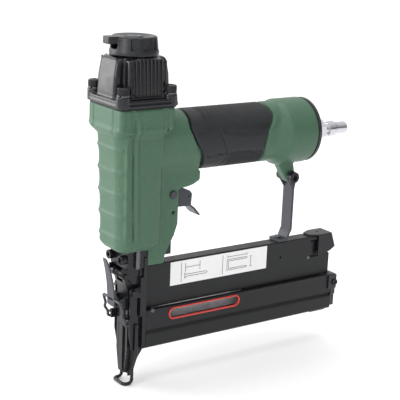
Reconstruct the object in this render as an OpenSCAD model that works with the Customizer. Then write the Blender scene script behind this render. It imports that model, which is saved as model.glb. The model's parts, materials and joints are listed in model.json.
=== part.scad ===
// Pneumatic brad nailer. Millimetres, +Z up along the drive axis, +X towards the air plug.
// The origin is the muzzle: the middle of the nose tip, where a brad leaves the tool.

/* [Head] */
// Width of the square cap flange
cap_w = 48; // [47.5:0.5:49]
// Height of the top of the cap
cap_top = 233; // [232:0.5:234]
// Height of the top of the exhaust deflector
deflector_top = 246; // [245:0.5:248]
// Largest radius of the exhaust deflector
deflector_r = 17; // [16:0.5:18]

/* [Body casting] */
// Width of the barrel
barrel_w = 36; // [36:0.5:37]
// Corner radius of the barrel
barrel_r = 9; // [7:0.5:10]
// Height of the underside of the barrel
barrel_bottom = 97.5; // [97.5:0.5:98]
// Height of the joint between the casting and the cap gasket
head_joint = 199.5; // [199:0.5:200]
// Height of the underside of the wide shoulder
shoulder_bottom = 184; // [182:1:186]
// Radius of the end bulb
bulb_r = 24.8; // [24:0.2:25.2]
// Where the end bulb stops
bulb_end = 150; // [149:1:152]

/* [Handle] */
// Height of the handle's axis
handle_z = 171; // [170:0.5:172]
// Overall width of the handle over its grip
handle_w = 36.4; // [35:0.2:37]
// Overall height of the handle over its grip
handle_h = 44.8; // [44:0.2:46]
// Thickness of the rubber grip
grip_t = 2.6; // [2:0.2:3]

/* [Cylinder] */
// Inside radius of the cylinder sleeve
bore_r = 12.5; // [12:0.1:12.6]
// Travel of the piston and driver
stroke = 76; // [74:1:76]

/* [Driver and nose] */
// Width of the driver blade
driver_w = 5.8; // [5.4:0.1:6]
// Thickness of the driver blade
driver_t = 1.25; // [1.1:0.05:1.3]
// Diameter of the contact wire
contact_wire_d = 2.4; // [2:0.1:2.6]

/* [Magazine] */
// Height of the top of the fixed magazine
mag_top = 83; // [82:0.5:83]
// Height of the underside of the sliding magazine
mag_bottom = 21.4; // [21:0.2:22]
// Where the sliding magazine ends
mag_end = 184; // [183:1:185]
// Half width of the sliding magazine
mag_half = 10.3; // [10:0.1:10.4]
// Length of the brad strip
strip_len = 100; // [60:5:100]

/* [Air plug] */
// Radius of the plug's sealing nose
plug_nose_r = 4.6; // [4:0.1:5]
// Where the plug ends
plug_end = 194; // [190:1:196]

/* [Hidden] */
$fn = 64;
fit = 0.05;
gap = 0.4;

gasket_t = 0.8;
cap_base = head_joint + gasket_t;
cap_bore_r = 15.2;
cap_bolt_x = [-19.2, 17.5];
cap_bolt_y = 19.4;
cap_boss_top = 208.5;
washer_t = 1;
bolt_r = 2.5;
bolt_head_r = 4.25;
body_bore_r = 16;
sleeve_r = bore_r + 1.7;
sleeve_bottom = 104;
sleeve_top = head_joint - 0.5;
oring_r = 0.9;
piston_top = sleeve_top - 2;
piston_h = 10;
bulb_z = 169.8;
chamber_r = 11.5;
end_cap_r = 21;
end_cap_t = 4;
plug_z = 167.6;
trigger_pin = [27.7, 134.6];
trigger_pin_r = 2;
lever_pivot = [44.2, 130.6];
valve_x = 37;
riser_x = 30.2;
riser_top = 126.6;
lug_pin = [140.4, 134];
lug_pin_r = 2.5;
eye_r = 4.7;
strap_screw_x = 133.6;
nose_screw_y = 8;
nose_screw_z = 91;
post_y = 13.7;
door_pin = [-8, 79];
door_pin_r = 1.5;
latch_pin = [-10.5, 57.5];
latch_pin_r = 1.2;
bail_pin = [-13.6, 60.5];
bail_r = 1;
bail_y = 12.1;
peg = [-6.5, 46];
nail_low = 25;
nail_high = 75;
mag_split = 50;
rail_half = 5.5;
rail_end = 183.5;
mag_start = 9.3;
catch_pin = [161.6, 66.2];
window = [28.5, 92.5, 44.4, 4.6];
pusher_start = strip_len + 1.6;
spring_y = 5.6;
spring_z = 41;
tab_y = 11.3;
end_screw = [186.2, 43.6];

// ---------- shared shapes ----------

// A rectangle with round corners, centred on the origin.
module round_rect(w, d, r) {
    square([w - 2 * r, d], center = true);
    square([w, d - 2 * r], center = true);
    for (x = [-1, 1], y = [-1, 1]) translate([x * (w / 2 - r), y * (d / 2 - r)]) circle(r);
}

// A prism with a round_rect outline between two heights.
module round_prism(w, d, r, low, high) {
    translate([0, 0, low]) linear_extrude(high - low) round_rect(w, d, r);
}

// A cylinder along X from x0 to x1 through (y, z).
module rod_x(r, x0, x1, y = 0, z = 0) {
    translate([x0, y, z]) rotate([0, 90, 0]) cylinder(r = r, h = x1 - x0);
}

// A cylinder along Y from y0 to y1 through the XZ point p.
module rod_y(r, y0, y1, p) {
    translate([p[0], y1, p[1]]) rotate([90, 0, 0]) cylinder(r = r, h = y1 - y0);
}

// A cylinder along Z from z0 to z1 through (x, y).
module rod_z(r, z0, z1, x = 0, y = 0) {
    translate([x, y, z0]) cylinder(r = r, h = z1 - z0);
}

// A plate with an XZ outline, from y0 to y1.
module plate_y(y0, y1) {
    translate([0, y1, 0]) rotate([90, 0, 0]) linear_extrude(y1 - y0) children();
}

// A bar with a YZ outline, from x0 to x1.
module bar_x(x0, x1) {
    translate([x0, 0, 0]) rotate([90, 0, 90]) linear_extrude(x1 - x0) children();
}

// The same shape on both sides of the middle plane.
module both_sides() {
    children();
    mirror([0, 1, 0]) children();
}

// A box between two corners.
module block(low, high) {
    translate(low) cube(high - low);
}

function unit(v) = v / norm(v);
function across(v, t) = unit(v - t * (v * t));
function tangent(p, i) = unit(p[min(i + 1, len(p) - 1)] - p[max(i - 1, 0)]);
function normals(p, i = 0, n = [0.31, 0.57, 0.76], list = []) =
    i == len(p) ? list : let (m = across(n, tangent(p, i))) normals(p, i + 1, m, concat(list, [m]));

// A round wire that follows the points of a path.
module wire(p, r, sides = 8) {
    n = normals(p);
    points = [for (i = [0:len(p) - 1]) let (u = n[i], v = cross(tangent(p, i), u))
        for (k = [0:sides - 1]) p[i] + r * (u * cos(360 * k / sides) + v * sin(360 * k / sides))];
    last = (len(p) - 1) * sides;
    walls = [for (i = [0:len(p) - 2], k = [0:sides - 1]) let (a = i * sides, b = (k + 1) % sides)
        [a + k, a + sides + k, a + sides + b, a + b]];
    ends = [[for (k = [0:sides - 1]) k], [for (k = [sides - 1:-1:0]) last + k]];
    polyhedron(points, concat(walls, ends));
}

// A corner of a path, replaced by an arc-like curve that cuts it off at the given distance.
function bend(a, b, c, cut, steps = 5) =
    let (p = b + cut * unit(a - b), q = b + cut * unit(c - b))
    [for (i = [0:steps]) let (t = i / steps) (1 - t) * (1 - t) * p + 2 * t * (1 - t) * b + t * t * q];

// A path through corner points with every inner corner rounded.
function rounded_path(p, cut) = concat([p[0]],
    [for (i = [1:len(p) - 2]) each bend(p[i - 1], p[i], p[i + 1], cut)], [p[len(p) - 1]]);

// A coil spring standing on the XY plane.
module coil(r, wire_r, height, turns) {
    steps = 14;
    wire([for (i = [0:turns * steps]) let (a = 360 * i / steps)
        [r * cos(a), r * sin(a), wire_r + (height - 2 * wire_r) * i / (turns * steps)]], wire_r, 6);
}

// A ring with a round section, lying flat at height z.
module ring(r, section_r, z) {
    translate([0, 0, z]) rotate_extrude() translate([r, 0]) circle(section_r);
}

// The places of the four cap bolts.
module at_cap_bolts() {
    for (x = cap_bolt_x, y = [-cap_bolt_y, cap_bolt_y]) translate([x, y, 0]) children();
}

// A socket head screw: its head's top at the origin, its shank down -Z.
module socket_screw(shank_r, head_r, head_h, shank_len) {
    difference() {
        translate([0, 0, -head_h]) cylinder(r = head_r, h = head_h);
        translate([0, 0, -head_h * 0.6]) cylinder(r = shank_r * 0.95, h = head_h, $fn = 6);
    }
    translate([0, 0, -head_h - shank_len]) cylinder(r = shank_r, h = shank_len + 0.01);
}

// ---------- body casting ----------

// The handle's outline in the YZ plane, with straight sides and round top and bottom.
module handle_outline(inset = 0) {
    r = handle_w / 2 - inset;
    straight = handle_h - handle_w;
    for (z = [-straight / 2, straight / 2]) translate([0, handle_z + z]) circle(r);
    translate([-r, handle_z - straight / 2]) square([2 * r, straight]);
}

// The side view of the casting in front of the grip.
module neck_side() {
    polygon([[10, 196], [38, 196], [37, 182], [41, 173], [46.6, 163.5], [50, 152], [50.5, 136], [10, 136]]);
}

// The side view of the grip's sleeve.
module grip_side() {
    polygon([[38 + gap, 196], [37 + gap, 182], [41 + gap, 173], [46.6 + gap, 163.5], [50 + gap, 152],
        [50.5 + gap, 146], [106, 146], [103, 163], [106, 176], [112, 186], [108, 196]]);
}

// The side view of the cheeks behind the barrel, down to the legs over the magazine.
module cheek_side() {
    polygon([[8.2, 85], [21.8, 85], [22.3, 90], [30, 105], [32.4, 112], [32.4, 137.5], [40, 138],
        [47.5, 139.8], [50.2, 143.5], [50.2, 150], [40, 156], [8.2, 156]]);
}

module body_solid() {
    shoulder = cap_w - 2.4;
    round_prism(shoulder, shoulder, 7.5, shoulder_bottom, head_joint);
    hull() {
        round_prism(shoulder, shoulder, 7.5, shoulder_bottom - 0.1, shoulder_bottom + 0.1, $fn = 32);
        round_prism(barrel_w, barrel_w, barrel_r, shoulder_bottom - 5, shoulder_bottom - 4.9, $fn = 32);
    }
    round_prism(barrel_w, barrel_w, barrel_r, barrel_bottom + 4, shoulder_bottom - 3);
    hull() {
        round_prism(barrel_w, barrel_w, barrel_r, barrel_bottom + 4, barrel_bottom + 4.1, $fn = 32);
        round_prism(barrel_w - 6, barrel_w - 6, barrel_r - 2, barrel_bottom, barrel_bottom + 0.1, $fn = 32);
    }
    plate_y(-12, 12) cheek_side();
    intersection() {
        bar_x(8, 52) handle_outline();
        plate_y(-30, 30) neck_side();
    }
    bar_x(14, 118) handle_outline(grip_t + fit);
    intersection() {
        bar_x(100, 122) handle_outline();
        difference() {
            block([100, -30, 140], [122, 30, 200]);
            plate_y(-31, 31) offset_grip();
        }
    }
    translate([112.6, 0, bulb_z]) rotate([0, 90, 0]) cylinder(r1 = 18, r2 = bulb_r, h = 10.9);
    rod_x(bulb_r, 123.5, bulb_end - 3, 0, bulb_z);
    translate([bulb_end - 3, 0, bulb_z]) rotate([0, 90, 0]) cylinder(r1 = bulb_r, r2 = bulb_r - 2.4, h = 3);
    plate_y(-3.9, 3.9) lug_side();
}

// The grip's side view, a little longer at its rear edge, so the casting stays clear of it.
module offset_grip() {
    polygon([[60, 140], [106 + gap, 140], [106 + gap, 146], [103 + gap, 163], [106 + gap, 176],
        [112 + gap, 186], [108 + gap, 201], [60, 201]]);
}

// The side view of the lug, which runs forward into the underside of the bulb.
module lug_side() {
    translate(lug_pin) circle(eye_r);
    polygon([[121.7, 155], [136.4, 131.5], [lug_pin[0] + eye_r, lug_pin[1]], [142.4, 144], [142.4, 155]]);
}

module body_housing() {
    color("#4d7860") difference() {
        body_solid();
        rod_z(body_bore_r, sleeve_bottom, head_joint + 1);
        rod_z(5, barrel_bottom - 1, sleeve_bottom + 1);
        rod_x(chamber_r, 12, bulb_end - end_cap_t - 1, 0, bulb_z);
        rod_x(end_cap_r, bulb_end - end_cap_t, bulb_end + 1, 0, bulb_z);
        block([19.5, -8.5, 106], [52, 8.5, 143.5]);
        block([6, -5, 80], [34, 5, 106.1]);
        rod_z(5.5, 142, 160, valve_x, 0);
        rod_y(trigger_pin_r, -14, 14, trigger_pin);
        rod_y(1.3, -14, 14, [28.6, 121.3]);
        rod_y(lug_pin_r, -10, 10, lug_pin);
        both_sides() rod_x(2, 7, 19, nose_screw_y, nose_screw_z);
        both_sides() rod_z(1.5, barrel_bottom - 1, barrel_bottom + 4, -1, post_y);
        at_cap_bolts() rod_z(bolt_r, shoulder_bottom + 2, head_joint + 1);
        both_sides() plate_y(17.5, 26) groove_side();
        for (i = [0:3]) translate([-barrel_w / 2 - 0.1, 0, 111 + 15.2 * i])
            rotate([90, 0, 0]) cylinder(r = 0.7, h = 15, center = true);
    }
}

// The long groove beside the front corner of the barrel and the short one under the cap.
module groove_side() {
    translate([-12.5, 108]) square([2.2, 82]);
    translate([14, 180]) square([2.2, 19]);
}

module handle_grip() {
    color("#3c3d40") intersection() {
        difference() {
            bar_x(36, 114) handle_outline();
            bar_x(35, 115) handle_outline(grip_t);
        }
        plate_y(-30, 30) grip_side();
    }
}

// ---------- head ----------

module cylinder_cap() {
    color("#3a3b3f") difference() {
        union() {
            round_prism(cap_w, cap_w, 7.5, cap_base, cap_base + 5.7);
            rod_z(17.2, cap_base + 5, cap_top);
            round_prism(29.2, 37, 1.5, cap_base + 5, cap_top - 1.5);
            for (side = [-1, 1]) translate([side * 12, 0, 0])
                round_prism(19.5, 22, 4, cap_base + 5, cap_top - 1.5);
            at_cap_bolts() rod_z(4.9, cap_base, cap_boss_top);
            both_sides() for (i = [-4:4]) block([i * 2.9 - 0.7, 18, 209], [i * 2.9 + 0.7, 19.4, 230]);
            both_sides() block([-14.6, 17, 206], [-13.4, 20.4, 232]);
            for (side = [-1, 1]) mirror([0, side < 0 ? 1 : 0, 0]) plate_y(18.3, 20.4)
                polygon([[12, 205], [21.5, 205], [21.5, 212], [16, 231], [12, 231]]);
        }
        rod_z(cap_bore_r, cap_base - 1, 229);
        at_cap_bolts() rod_z(bolt_r + 0.2, cap_base - 1, cap_boss_top + 1);
        at_cap_bolts() rod_z(5.4, cap_boss_top, cap_top + 1);
        rod_z(3, 224, cap_top + 1);
        for (a = [45:90:315]) rotate(a) rod_z(2.4, 228, cap_top + 1, 9);
    }
    color("#3a3b3f") difference() {
        rod_z(5.2, 222, 229);
        rod_z(3, 221, 230);
    }
}

module cap_gasket() {
    color("#1c1c1e") difference() {
        round_prism(cap_w - 1, cap_w - 1, 7.5, head_joint, cap_base);
        rod_z(cap_bore_r + 0.8, head_joint - 1, cap_base + 1);
        at_cap_bolts() rod_z(bolt_r + 0.2, head_joint - 1, cap_base + 1);
    }
}

module cap_bolts() {
    color("#26262a") at_cap_bolts() translate([0, 0, cap_boss_top + washer_t + 5])
        socket_screw(bolt_r, bolt_head_r, 5, cap_boss_top + washer_t - shoulder_bottom - 3);
}

module cap_washers() {
    color("#55565a") at_cap_bolts() difference() {
        rod_z(4.4, cap_boss_top, cap_boss_top + washer_t);
        rod_z(bolt_r + 0.1, cap_boss_top - 1, cap_boss_top + washer_t + 1);
        rotate(40) translate([0, -0.4, cap_boss_top - 1]) cube([6, 0.8, washer_t + 2]);
    }
}

module exhaust_deflector() {
    low = cap_top + gap;
    r = deflector_r;
    color("#2c2d30") difference() {
        union() {
            rotate_extrude() polygon([[0, low], [r, low], [r, low + 3], [r - 1, deflector_top - 3],
                [r - 2, deflector_top - 0.6], [r - 2.6, deflector_top], [0, deflector_top]]);
            block([-22.3, -4.5, deflector_top - 5.4], [-10, 4.5, deflector_top - 0.4]);
        }
        rod_z(r - 3.4, low - 1, low + 7);
        rod_z(6.2, deflector_top - 2.4, deflector_top + 1);
        rod_z(3.06, low, deflector_top + 1);
        block([-28, -4.2, low + 4.3], [-8, 4.2, deflector_top - 5.6]);
        for (a = [-125:10:125]) rotate(a) block([r - 0.6, -0.7, low + 3], [r + 1, 0.7, deflector_top - 2]);
    }
}

module deflector_screw() {
    color("#6d6e72") difference() {
        union() {
            rod_z(5.6, deflector_top - 2.3, deflector_top - 0.3);
            rod_z(3, 223, deflector_top - 2.2);
        }
        for (a = [0, 90]) rotate(a) block([-2.6, -0.5, deflector_top - 1.6], [2.6, 0.5, deflector_top]);
    }
}

module head_valve() {
    color("#b9bbc0") difference() {
        union() {
            rod_z(cap_bore_r - 0.08, 203, 211);
            rod_z(5.4, 211, 216);
        }
        rod_z(3.4, 207, 217);
        seal_groove(cap_bore_r, 207);
    }
}

module head_valve_seal() {
    color("#1b1b1c") difference() {
        rod_z(14.6, cap_base + 0.3, 203);
        rod_z(10, cap_base, 202);
    }
    color("#1b1b1c") ring(cap_bore_r - 0.95, 0.9, 207);
}

module head_valve_spring() {
    color("#a9abb0") translate([0, 0, 211.4]) coil(8, 0.7, 17.2, 4);
}

// ---------- cylinder ----------

module cylinder_sleeve() {
    color("#c3c6cb") difference() {
        union() {
            rod_z(sleeve_r, sleeve_bottom, sleeve_top);
            rod_z(body_bore_r - fit, sleeve_bottom, sleeve_bottom + 6);
            rod_z(body_bore_r - fit, sleeve_top - 6, sleeve_top);
        }
        rod_z(bore_r, sleeve_bottom - 1, sleeve_top + 1);
        for (z = [sleeve_bottom + 3, sleeve_top - 3]) seal_groove(body_bore_r, z);
        for (a = [20:40:340]) rotate(a) rod_x(1, 10, 17, 0, 122);
    }
}

// A square groove for a seal ring that runs in a bore of radius r, with its middle at height z.
module seal_groove(r, z) {
    translate([0, 0, z - 1]) difference() {
        cylinder(r = r + 1, h = 2);
        translate([0, 0, -1]) cylinder(r = r - 1.9, h = 4);
    }
}

module cylinder_orings() {
    color("#1b1b1c") for (z = [sleeve_bottom + 3, sleeve_top - 3]) ring(body_bore_r - 0.95, oring_r, z);
}

module piston() {
    color("#9ea1a7") difference() {
        rod_z(bore_r - 0.08, piston_top - piston_h, piston_top);
        rod_z(8, piston_top - 3, piston_top + 1);
        seal_groove(bore_r, piston_top - 5);
        block([-driver_t / 2 - fit, -driver_w / 2 - fit, 0],
            [driver_t / 2 + fit, driver_w / 2 + fit, piston_top - 5 + fit]);
    }
}

module piston_ring() {
    color("#1b1b1c") ring(bore_r - 0.95, oring_r, piston_top - 5);
}

module driver_blade() {
    color("#8d9096") block([-driver_t / 2, -driver_w / 2, stroke], [driver_t / 2, driver_w / 2, piston_top - 5]);
}

module bumper() {
    color("#2a2a2c") difference() {
        union() {
            rod_z(bore_r - 0.3, sleeve_bottom, sleeve_bottom + 4);
            rod_z(bore_r - 2, sleeve_bottom + 4, sleeve_bottom + 6.6);
        }
        rod_z(4.2, sleeve_bottom - 1, sleeve_bottom + 8);
    }
}

// ---------- air inlet ----------

module end_cap() {
    color("#27272a") difference() {
        union() {
            rod_x(end_cap_r - fit, bulb_end - end_cap_t, bulb_end + 1.4, 0, bulb_z);
            rod_x(11, bulb_end + 1.3, bulb_end + 7, 0, plug_z);
        }
        rod_x(6, bulb_end - 6, bulb_end + 8, 0, plug_z);
    }
}

module air_plug() {
    color("#d8d9dc") translate([0, 0, plug_z]) rotate([0, 90, 0]) difference() {
        union() {
            translate([0, 0, bulb_end - 3]) cylinder(r = 6 - fit, h = 11);
            translate([0, 0, bulb_end + 8]) cylinder(r = 8, h = 13, $fn = 6);
            translate([0, 0, bulb_end + 21]) cylinder(r = 4.2, h = 5);
            translate([0, 0, bulb_end + 26]) cylinder(r = 5.9, h = 6);
            translate([0, 0, bulb_end + 32]) cylinder(r1 = 5.9, r2 = plug_nose_r, h = 2);
            translate([0, 0, bulb_end + 34]) cylinder(r = plug_nose_r, h = plug_end - bulb_end - 34);
        }
        translate([0, 0, bulb_end - 4]) cylinder(r = 2.6, h = 60);
    }
}

// ---------- trigger ----------

module trigger_side() {
    polygon([[25, 130.5], [24.8, 137], [28, 139], [35.5, 139], [44.6, 134.8], [46.8, 132.4], [46.2, 124.4],
        [31, 124.8]]);
}

module trigger() {
    color("#6b6e73") difference() {
        union() {
            both_sides() plate_y(6.2, 7.7) trigger_side();
            plate_y(-6.3, 6.3) polygon([[34, 124.8], [46.2, 124.4], [50.5, 121], [54, 117], [55.3, 115.4],
                [54.6, 114.6], [52.6, 116.4], [49.4, 120], [45.6, 123], [34, 123.4]]);
        }
        rod_y(trigger_pin_r + 0.05, -9, 9, trigger_pin);
        rod_y(0.9, -9, 9, lever_pivot);
    }
}

module trigger_pin_rod() {
    color("#8b8d92") {
        rod_y(trigger_pin_r, -12.8, 12.6, trigger_pin);
        rod_y(trigger_pin_r + 0.7, -13.4, -12.1, trigger_pin);
    }
}

module trigger_lever() {
    color("#7b7d82") difference() {
        union() {
            plate_y(-3, 3) polygon([[44.2, 129], [44.2, 132.2], [38, 131.4], [31, 129.6], [29.9, 129],
                [29.9, 127.8], [31, 127.8]]);
            rod_y(1.7, -5, 5, lever_pivot);
        }
        rod_y(0.95, -6, 6, lever_pivot);
    }
}

module trigger_lever_pin() {
    color("#a0a2a7") rod_y(0.88, -7.7, 7.7, lever_pivot);
}

module trigger_valve() {
    color("#232325") difference() {
        union() {
            rod_z(5.4, 143.6, 158, valve_x, 0);
            rod_z(6.6, 140.6, 143.4, valve_x, 0);
            rod_z(5.4, 143.3, 143.7, valve_x, 0);
        }
        rod_z(3.6, 144, 159, valve_x, 0);
        rod_z(1.66, 140, 145, valve_x, 0);
    }
}

module valve_stem() {
    color("#b98f4d") {
        rod_z(1.6, 135.1, 150, valve_x, 0);
        rod_z(3.5, 145, 147, valve_x, 0);
    }
}

module valve_spring() {
    color("#a9abb0") translate([valve_x, 0, 147.3]) coil(2.6, 0.4, 10, 4);
}

// ---------- nose ----------

// The guide's outline seen from the front, narrow at the tip.
module guide_front(half, tip) {
    polygon([[-tip, 0], [tip, 0], [tip, 3], [half, 20], [half, 84.5], [-half, 84.5], [-half, 20], [-tip, 3]]);
}

module nose_guide() {
    color("#3f4043") difference() {
        union() {
            block([-8, -12, 84], [4.9, 12, barrel_bottom]);
            block([4.8, -10.8, 94], [8.1, 10.8, barrel_bottom]);
            both_sides() block([4.8, 5.9, 88.3], [8.1, 10.8, barrel_bottom]);
            intersection() {
                plate_y(-8, 8) polygon([[-1, 0], [2, 0], [2, 7], [9, 22], [9, 84.1], [-1, 84.1]]);
                bar_x(-2, 10) guide_front(7.5, 4);
            }
            block([6, -mag_half, 22], [9, mag_half, 47]);
            block([3, -mag_half, 47], [9, mag_half, 84.1]);
            both_sides() block([-9, 7.7, 42.6], [3, 9.2, 49.4]);
            both_sides() block([-0.9, 7.4, 42.6], [3, 7.8, 49.4]);
            both_sides() rod_y(1.5, 9.1, 13.2, peg);
            both_sides() plate_y(8.1, 9.3) door_ear();
        }
        block([-2, -driver_w / 2 - 0.1, -1], [driver_t / 2 + 0.1, driver_w / 2 + 0.1, 100]);
        block([0, -1.1, nail_low - 1], [10, 1.1, nail_high + 1]);
        both_sides() block([5.1, 4.9, 79.5], [9.1, 13, 88]);
        block([5.1, -5, 83.8], [9.1, 5, 94]);
        rod_y(door_pin_r, -11, 11, door_pin);
        both_sides() rod_x(2.1, -9, 9, nose_screw_y, nose_screw_z);
    }
}

module door_ear() {
    translate(door_pin) circle(3);
    polygon([[-11, 79], [-11, 84.5], [3.2, 84.5], [3.2, 72], [-2, 72], [-6, 76.8]]);
}

module nose_screws() {
    color("#2b2b2e") both_sides() translate([-12.5, nose_screw_y, nose_screw_z]) rotate([0, -90, 0])
        socket_screw(2, 3.3, 4.5, 26);
}

module guide_posts() {
    color("#8e9197") both_sides() rod_z(1.5, 84.5, barrel_bottom + 4, -1, post_y);
}

module nose_door() {
    color("#45464a") difference() {
        union() {
            intersection() {
                block([-4.6, -7.4, 3.4], [-1.1, 7.4, 76]);
                bar_x(-8, 0) guide_front(7.4, 4);
            }
            block([-5.6, -2.6, 4], [-4.5, 2.6, 52]);
            plate_y(-7.4, 7.4) polygon([[-4.6, 66], [-1.1, 66], [-1.1, 75], [-4.8, 78], [-7, 79], [-8, 76]]);
            rod_y(3, -7.9, 7.9, door_pin);
            both_sides() plate_y(5.6, 7.2) polygon([[-4.5, 52], [-9.5, 54.8], [-12.8, 56], [-12.8, 59.4],
                [-9.5, 60.2], [-4.5, 62]]);
        }
        rod_y(door_pin_r + 0.06, -9, 9, door_pin);
        rod_y(latch_pin_r, -9, 9, latch_pin);
        block([-12, -4, 72.5], [-3, 4, 84]);
        for (y = [-4.6, 3.6]) block([-5, y, 12], [-3.8, y + 1, 40]);
    }
}

module door_hinge_pin() {
    color("#8e9197") rod_y(door_pin_r, -11.2, 11.2, door_pin);
}

module door_spring() {
    color("#9b9da2") translate([door_pin[0], 3.6, door_pin[1]]) rotate([90, 0, 0]) coil(2.3, 0.45, 7.2, 6);
}

module latch_lever() {
    color("#77797e") difference() {
        union() {
            plate_y(-5, 5) polygon([[-13.2, 57], [-14.2, 70], [-16, 81], [-18.6, 90.6], [-20.2, 91.8],
                [-20.8, 90.4], [-17.8, 80.6], [-16, 70], [-15, 57]]);
            both_sides() plate_y(3.8, 5) polygon([[-13.1, 55], [-9, 55], [-8.4, 57.5], [-9.4, 60], [-12, 63],
                [-13.6, 68], [-14.2, 68], [-14.4, 56]]);
        }
        rod_y(latch_pin_r + 0.05, -9, 9, latch_pin);
        rod_y(bail_r + 0.08, -9, 9, bail_pin);
    }
}

module latch_lever_pin() {
    color("#9b9da2") rod_y(latch_pin_r, -7.4, 7.4, latch_pin);
}

module latch_bail() {
    x = bail_pin[0];
    z = bail_pin[1];
    path = [[x, 3.4, z], [x, bail_y, z], [-11.2, bail_y, 53], [-9.6, bail_y, 47], [-9.4, bail_y, 42.7],
        [-6.2, bail_y, 42.7]];
    color("#85878c") both_sides() wire(rounded_path(path, 1.5), bail_r);
}

module contact_wire() {
    r = contact_wire_d / 2;
    side = [[0.3, 12.1, 42], [0.3, 12.1, 18], [0.3, 7.2, 6.5], [0.3, 7.2, -4.4], [-6.4, 7.2, -4.4]];
    other = [for (i = [len(side) - 1:-1:0]) [side[i][0], -side[i][1], side[i][2]]];
    color("#4a4b4f") wire(rounded_path(concat(side, other), 2.4), r, 10);
}

module bracket_side() {
    polygon([[-4.8, 60], [-4.8, 34], [-2.5, 22], [1.2, 22], [1.2, 66], [-1, 66]]);
    translate([-1.8, 66]) circle(3);
    translate([-4.8, 58]) square([6, 8]);
}

module contact_bracket() {
    color("#4e4f53") difference() {
        both_sides() plate_y(9.5, 10.8) bracket_side();
        rod_y(1.25, -14, 14, [-1.8, 66]);
    }
}

module safety_arm() {
    color("#47484c") difference() {
        union() {
            both_sides() plate_y(10.95, 12.1) polygon([[3, 48], [7.8, 48], [7.8, 91.2], [5.4, 91.2], [5.4, 77],
                [3, 77], [3, 70], [-4.2, 69], [-4.2, 63], [3, 62]]);
            both_sides() block([5.4, 5.2, 79.9], [7.6, 12.1, 81.9]);
            both_sides() block([5.4, 5.2, 79.9], [7.6, 5.7, 86.6]);
            block([5.4, -5.7, 84.2], [7.6, 5.7, 86.6]);
            plate_y(-4.2, 4.2) riser_side();
        }
        rod_y(1.25, -14, 14, [-1.8, 66]);
    }
}

// The side view of the arm's run between the legs and its riser behind the barrel.
module riser_side() {
    back = riser_x + 2.2;
    polygon([[7.5, 84.2], [20, 84.2], [27.4, 88.3], [back, 88.3], [back, riser_top], [riser_x, riser_top],
        [riser_x, 97], [27.4, 94.5], [19, 86.6], [7.5, 86.6]]);
}

module bracket_screws() {
    color("#8e9197") both_sides() {
        rod_y(1.25, 9.4, 12.2, [-1.8, 66]);
        rod_y(2.4, 12.15, 13.5, [-1.8, 66]);
    }
}

module safety_spring() {
    color("#a9abb0") translate([16, 0, 87.3]) coil(2.8, 0.45, 9.9, 5);
}

// ---------- magazine ----------

module fixed_magazine() {
    color("#303134") difference() {
        bar_x(mag_start, rail_end) polygon([[-rail_half, mag_split + gap], [-rail_half, mag_top - 0.8],
            [-rail_half + 0.8, mag_top], [rail_half - 0.8, mag_top], [rail_half, mag_top - 0.8],
            [rail_half, mag_split + gap]]);
        block([mag_start - 1, -4, mag_split - 1], [rail_end + 1, 4, mag_top - 1.6]);
        plate_y(-9, 9) polygon([[171, 84], [176, 72], [185, 66], [185, 84]]);
        both_sides() block([164.1, 3, 66], [172.8, 9, 80]);
        block([167, -4, 78], [186, 4, 84]);
        rod_y(1.5, -6, 6, catch_pin);
        both_sides() rod_y(0.9, 3, 7, [133.8, 70.3]);
        rod_z(1.5, 79, 85, strap_screw_x, 0);
    }
}

module nail_rails() {
    color("#5c5d61") both_sides() {
        block([mag_start, 1.2, 56], [150, 3.9, 78]);
        block([mag_start, 1.2, 24.4], [150, 2.4, 38]);
        block([mag_start, 1.2, 37.9], [mag_start + 8, 2.4, 56.1]);
    }
}

module cover_outline(inset) {
    w = mag_half - inset;
    low = mag_bottom + inset;
    polygon([[-w, mag_split], [-w, 33.4], [-w + 0.9, 32.2], [-w + 0.9, low + 1.2], [-w + 2, low],
        [w - 2, low], [w - 0.9, low + 1.2], [w - 0.9, 32.2], [w, 33.4], [w, mag_split]]);
}

module window_outline(grow = 0) {
    r = window[3] + grow;
    for (x = [window[0] + window[3], window[1] - window[3]]) translate([x, window[2]]) circle(r);
    translate([window[0] + window[3], window[2] - r]) square([window[1] - window[0] - 2 * window[3], 2 * r]);
}

module sliding_magazine() {
    color("#2b2c2f") difference() {
        bar_x(mag_start, mag_end) cover_outline(0);
        bar_x(mag_start - 1, mag_end + 1) difference() {
            cover_outline(1.5);
            translate([-20, mag_split - 1.4]) square([40, 2]);
        }
        block([mag_start - 1, -6.4, mag_split - 2], [mag_end + 1, 6.4, mag_split + 1]);
        plate_y(-12, 12) window_outline();
    }
}

module window_trim() {
    color("#d8483f") both_sides() plate_y(mag_half - 1.4, mag_half + 0.35) difference() {
        window_outline(-fit);
        window_outline(-1.1);
    }
}

module magazine_label() {
    color("#ececec") both_sides() block([31.8, rail_half, 64], [119.8, rail_half + 0.3, 81.9]);
}

module brad_strip() {
    color("#b7b9be") {
        block([1, -0.6, nail_low], [1 + strip_len, 0.6, nail_high]);
        block([1, -1, nail_high - 1], [1 + strip_len, 1, nail_high - 0.01]);
    }
}

module pusher() {
    color("#8f9298") difference() {
        union() {
            block([pusher_start, -0.9, nail_low], [pusher_start + 16, 0.9, 55]);
            block([pusher_start + 4, -0.9, 39], [pusher_start + 14, spring_y + 2.6, 43.4]);
        }
        rod_x(1.15, pusher_start, pusher_start + 15, spring_y, spring_z);
    }
}

module pusher_rod() {
    color("#a0a2a7") rod_x(1.1, pusher_start + 2, mag_end - 3, spring_y, spring_z);
}

module pusher_spring() {
    color("#a9abb0") translate([pusher_start + 14.2, spring_y, spring_z]) rotate([0, 90, 0])
        coil(1.9, 0.35, mag_end - 4.4 - pusher_start - 14.2 + 1, 17);
}

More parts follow.
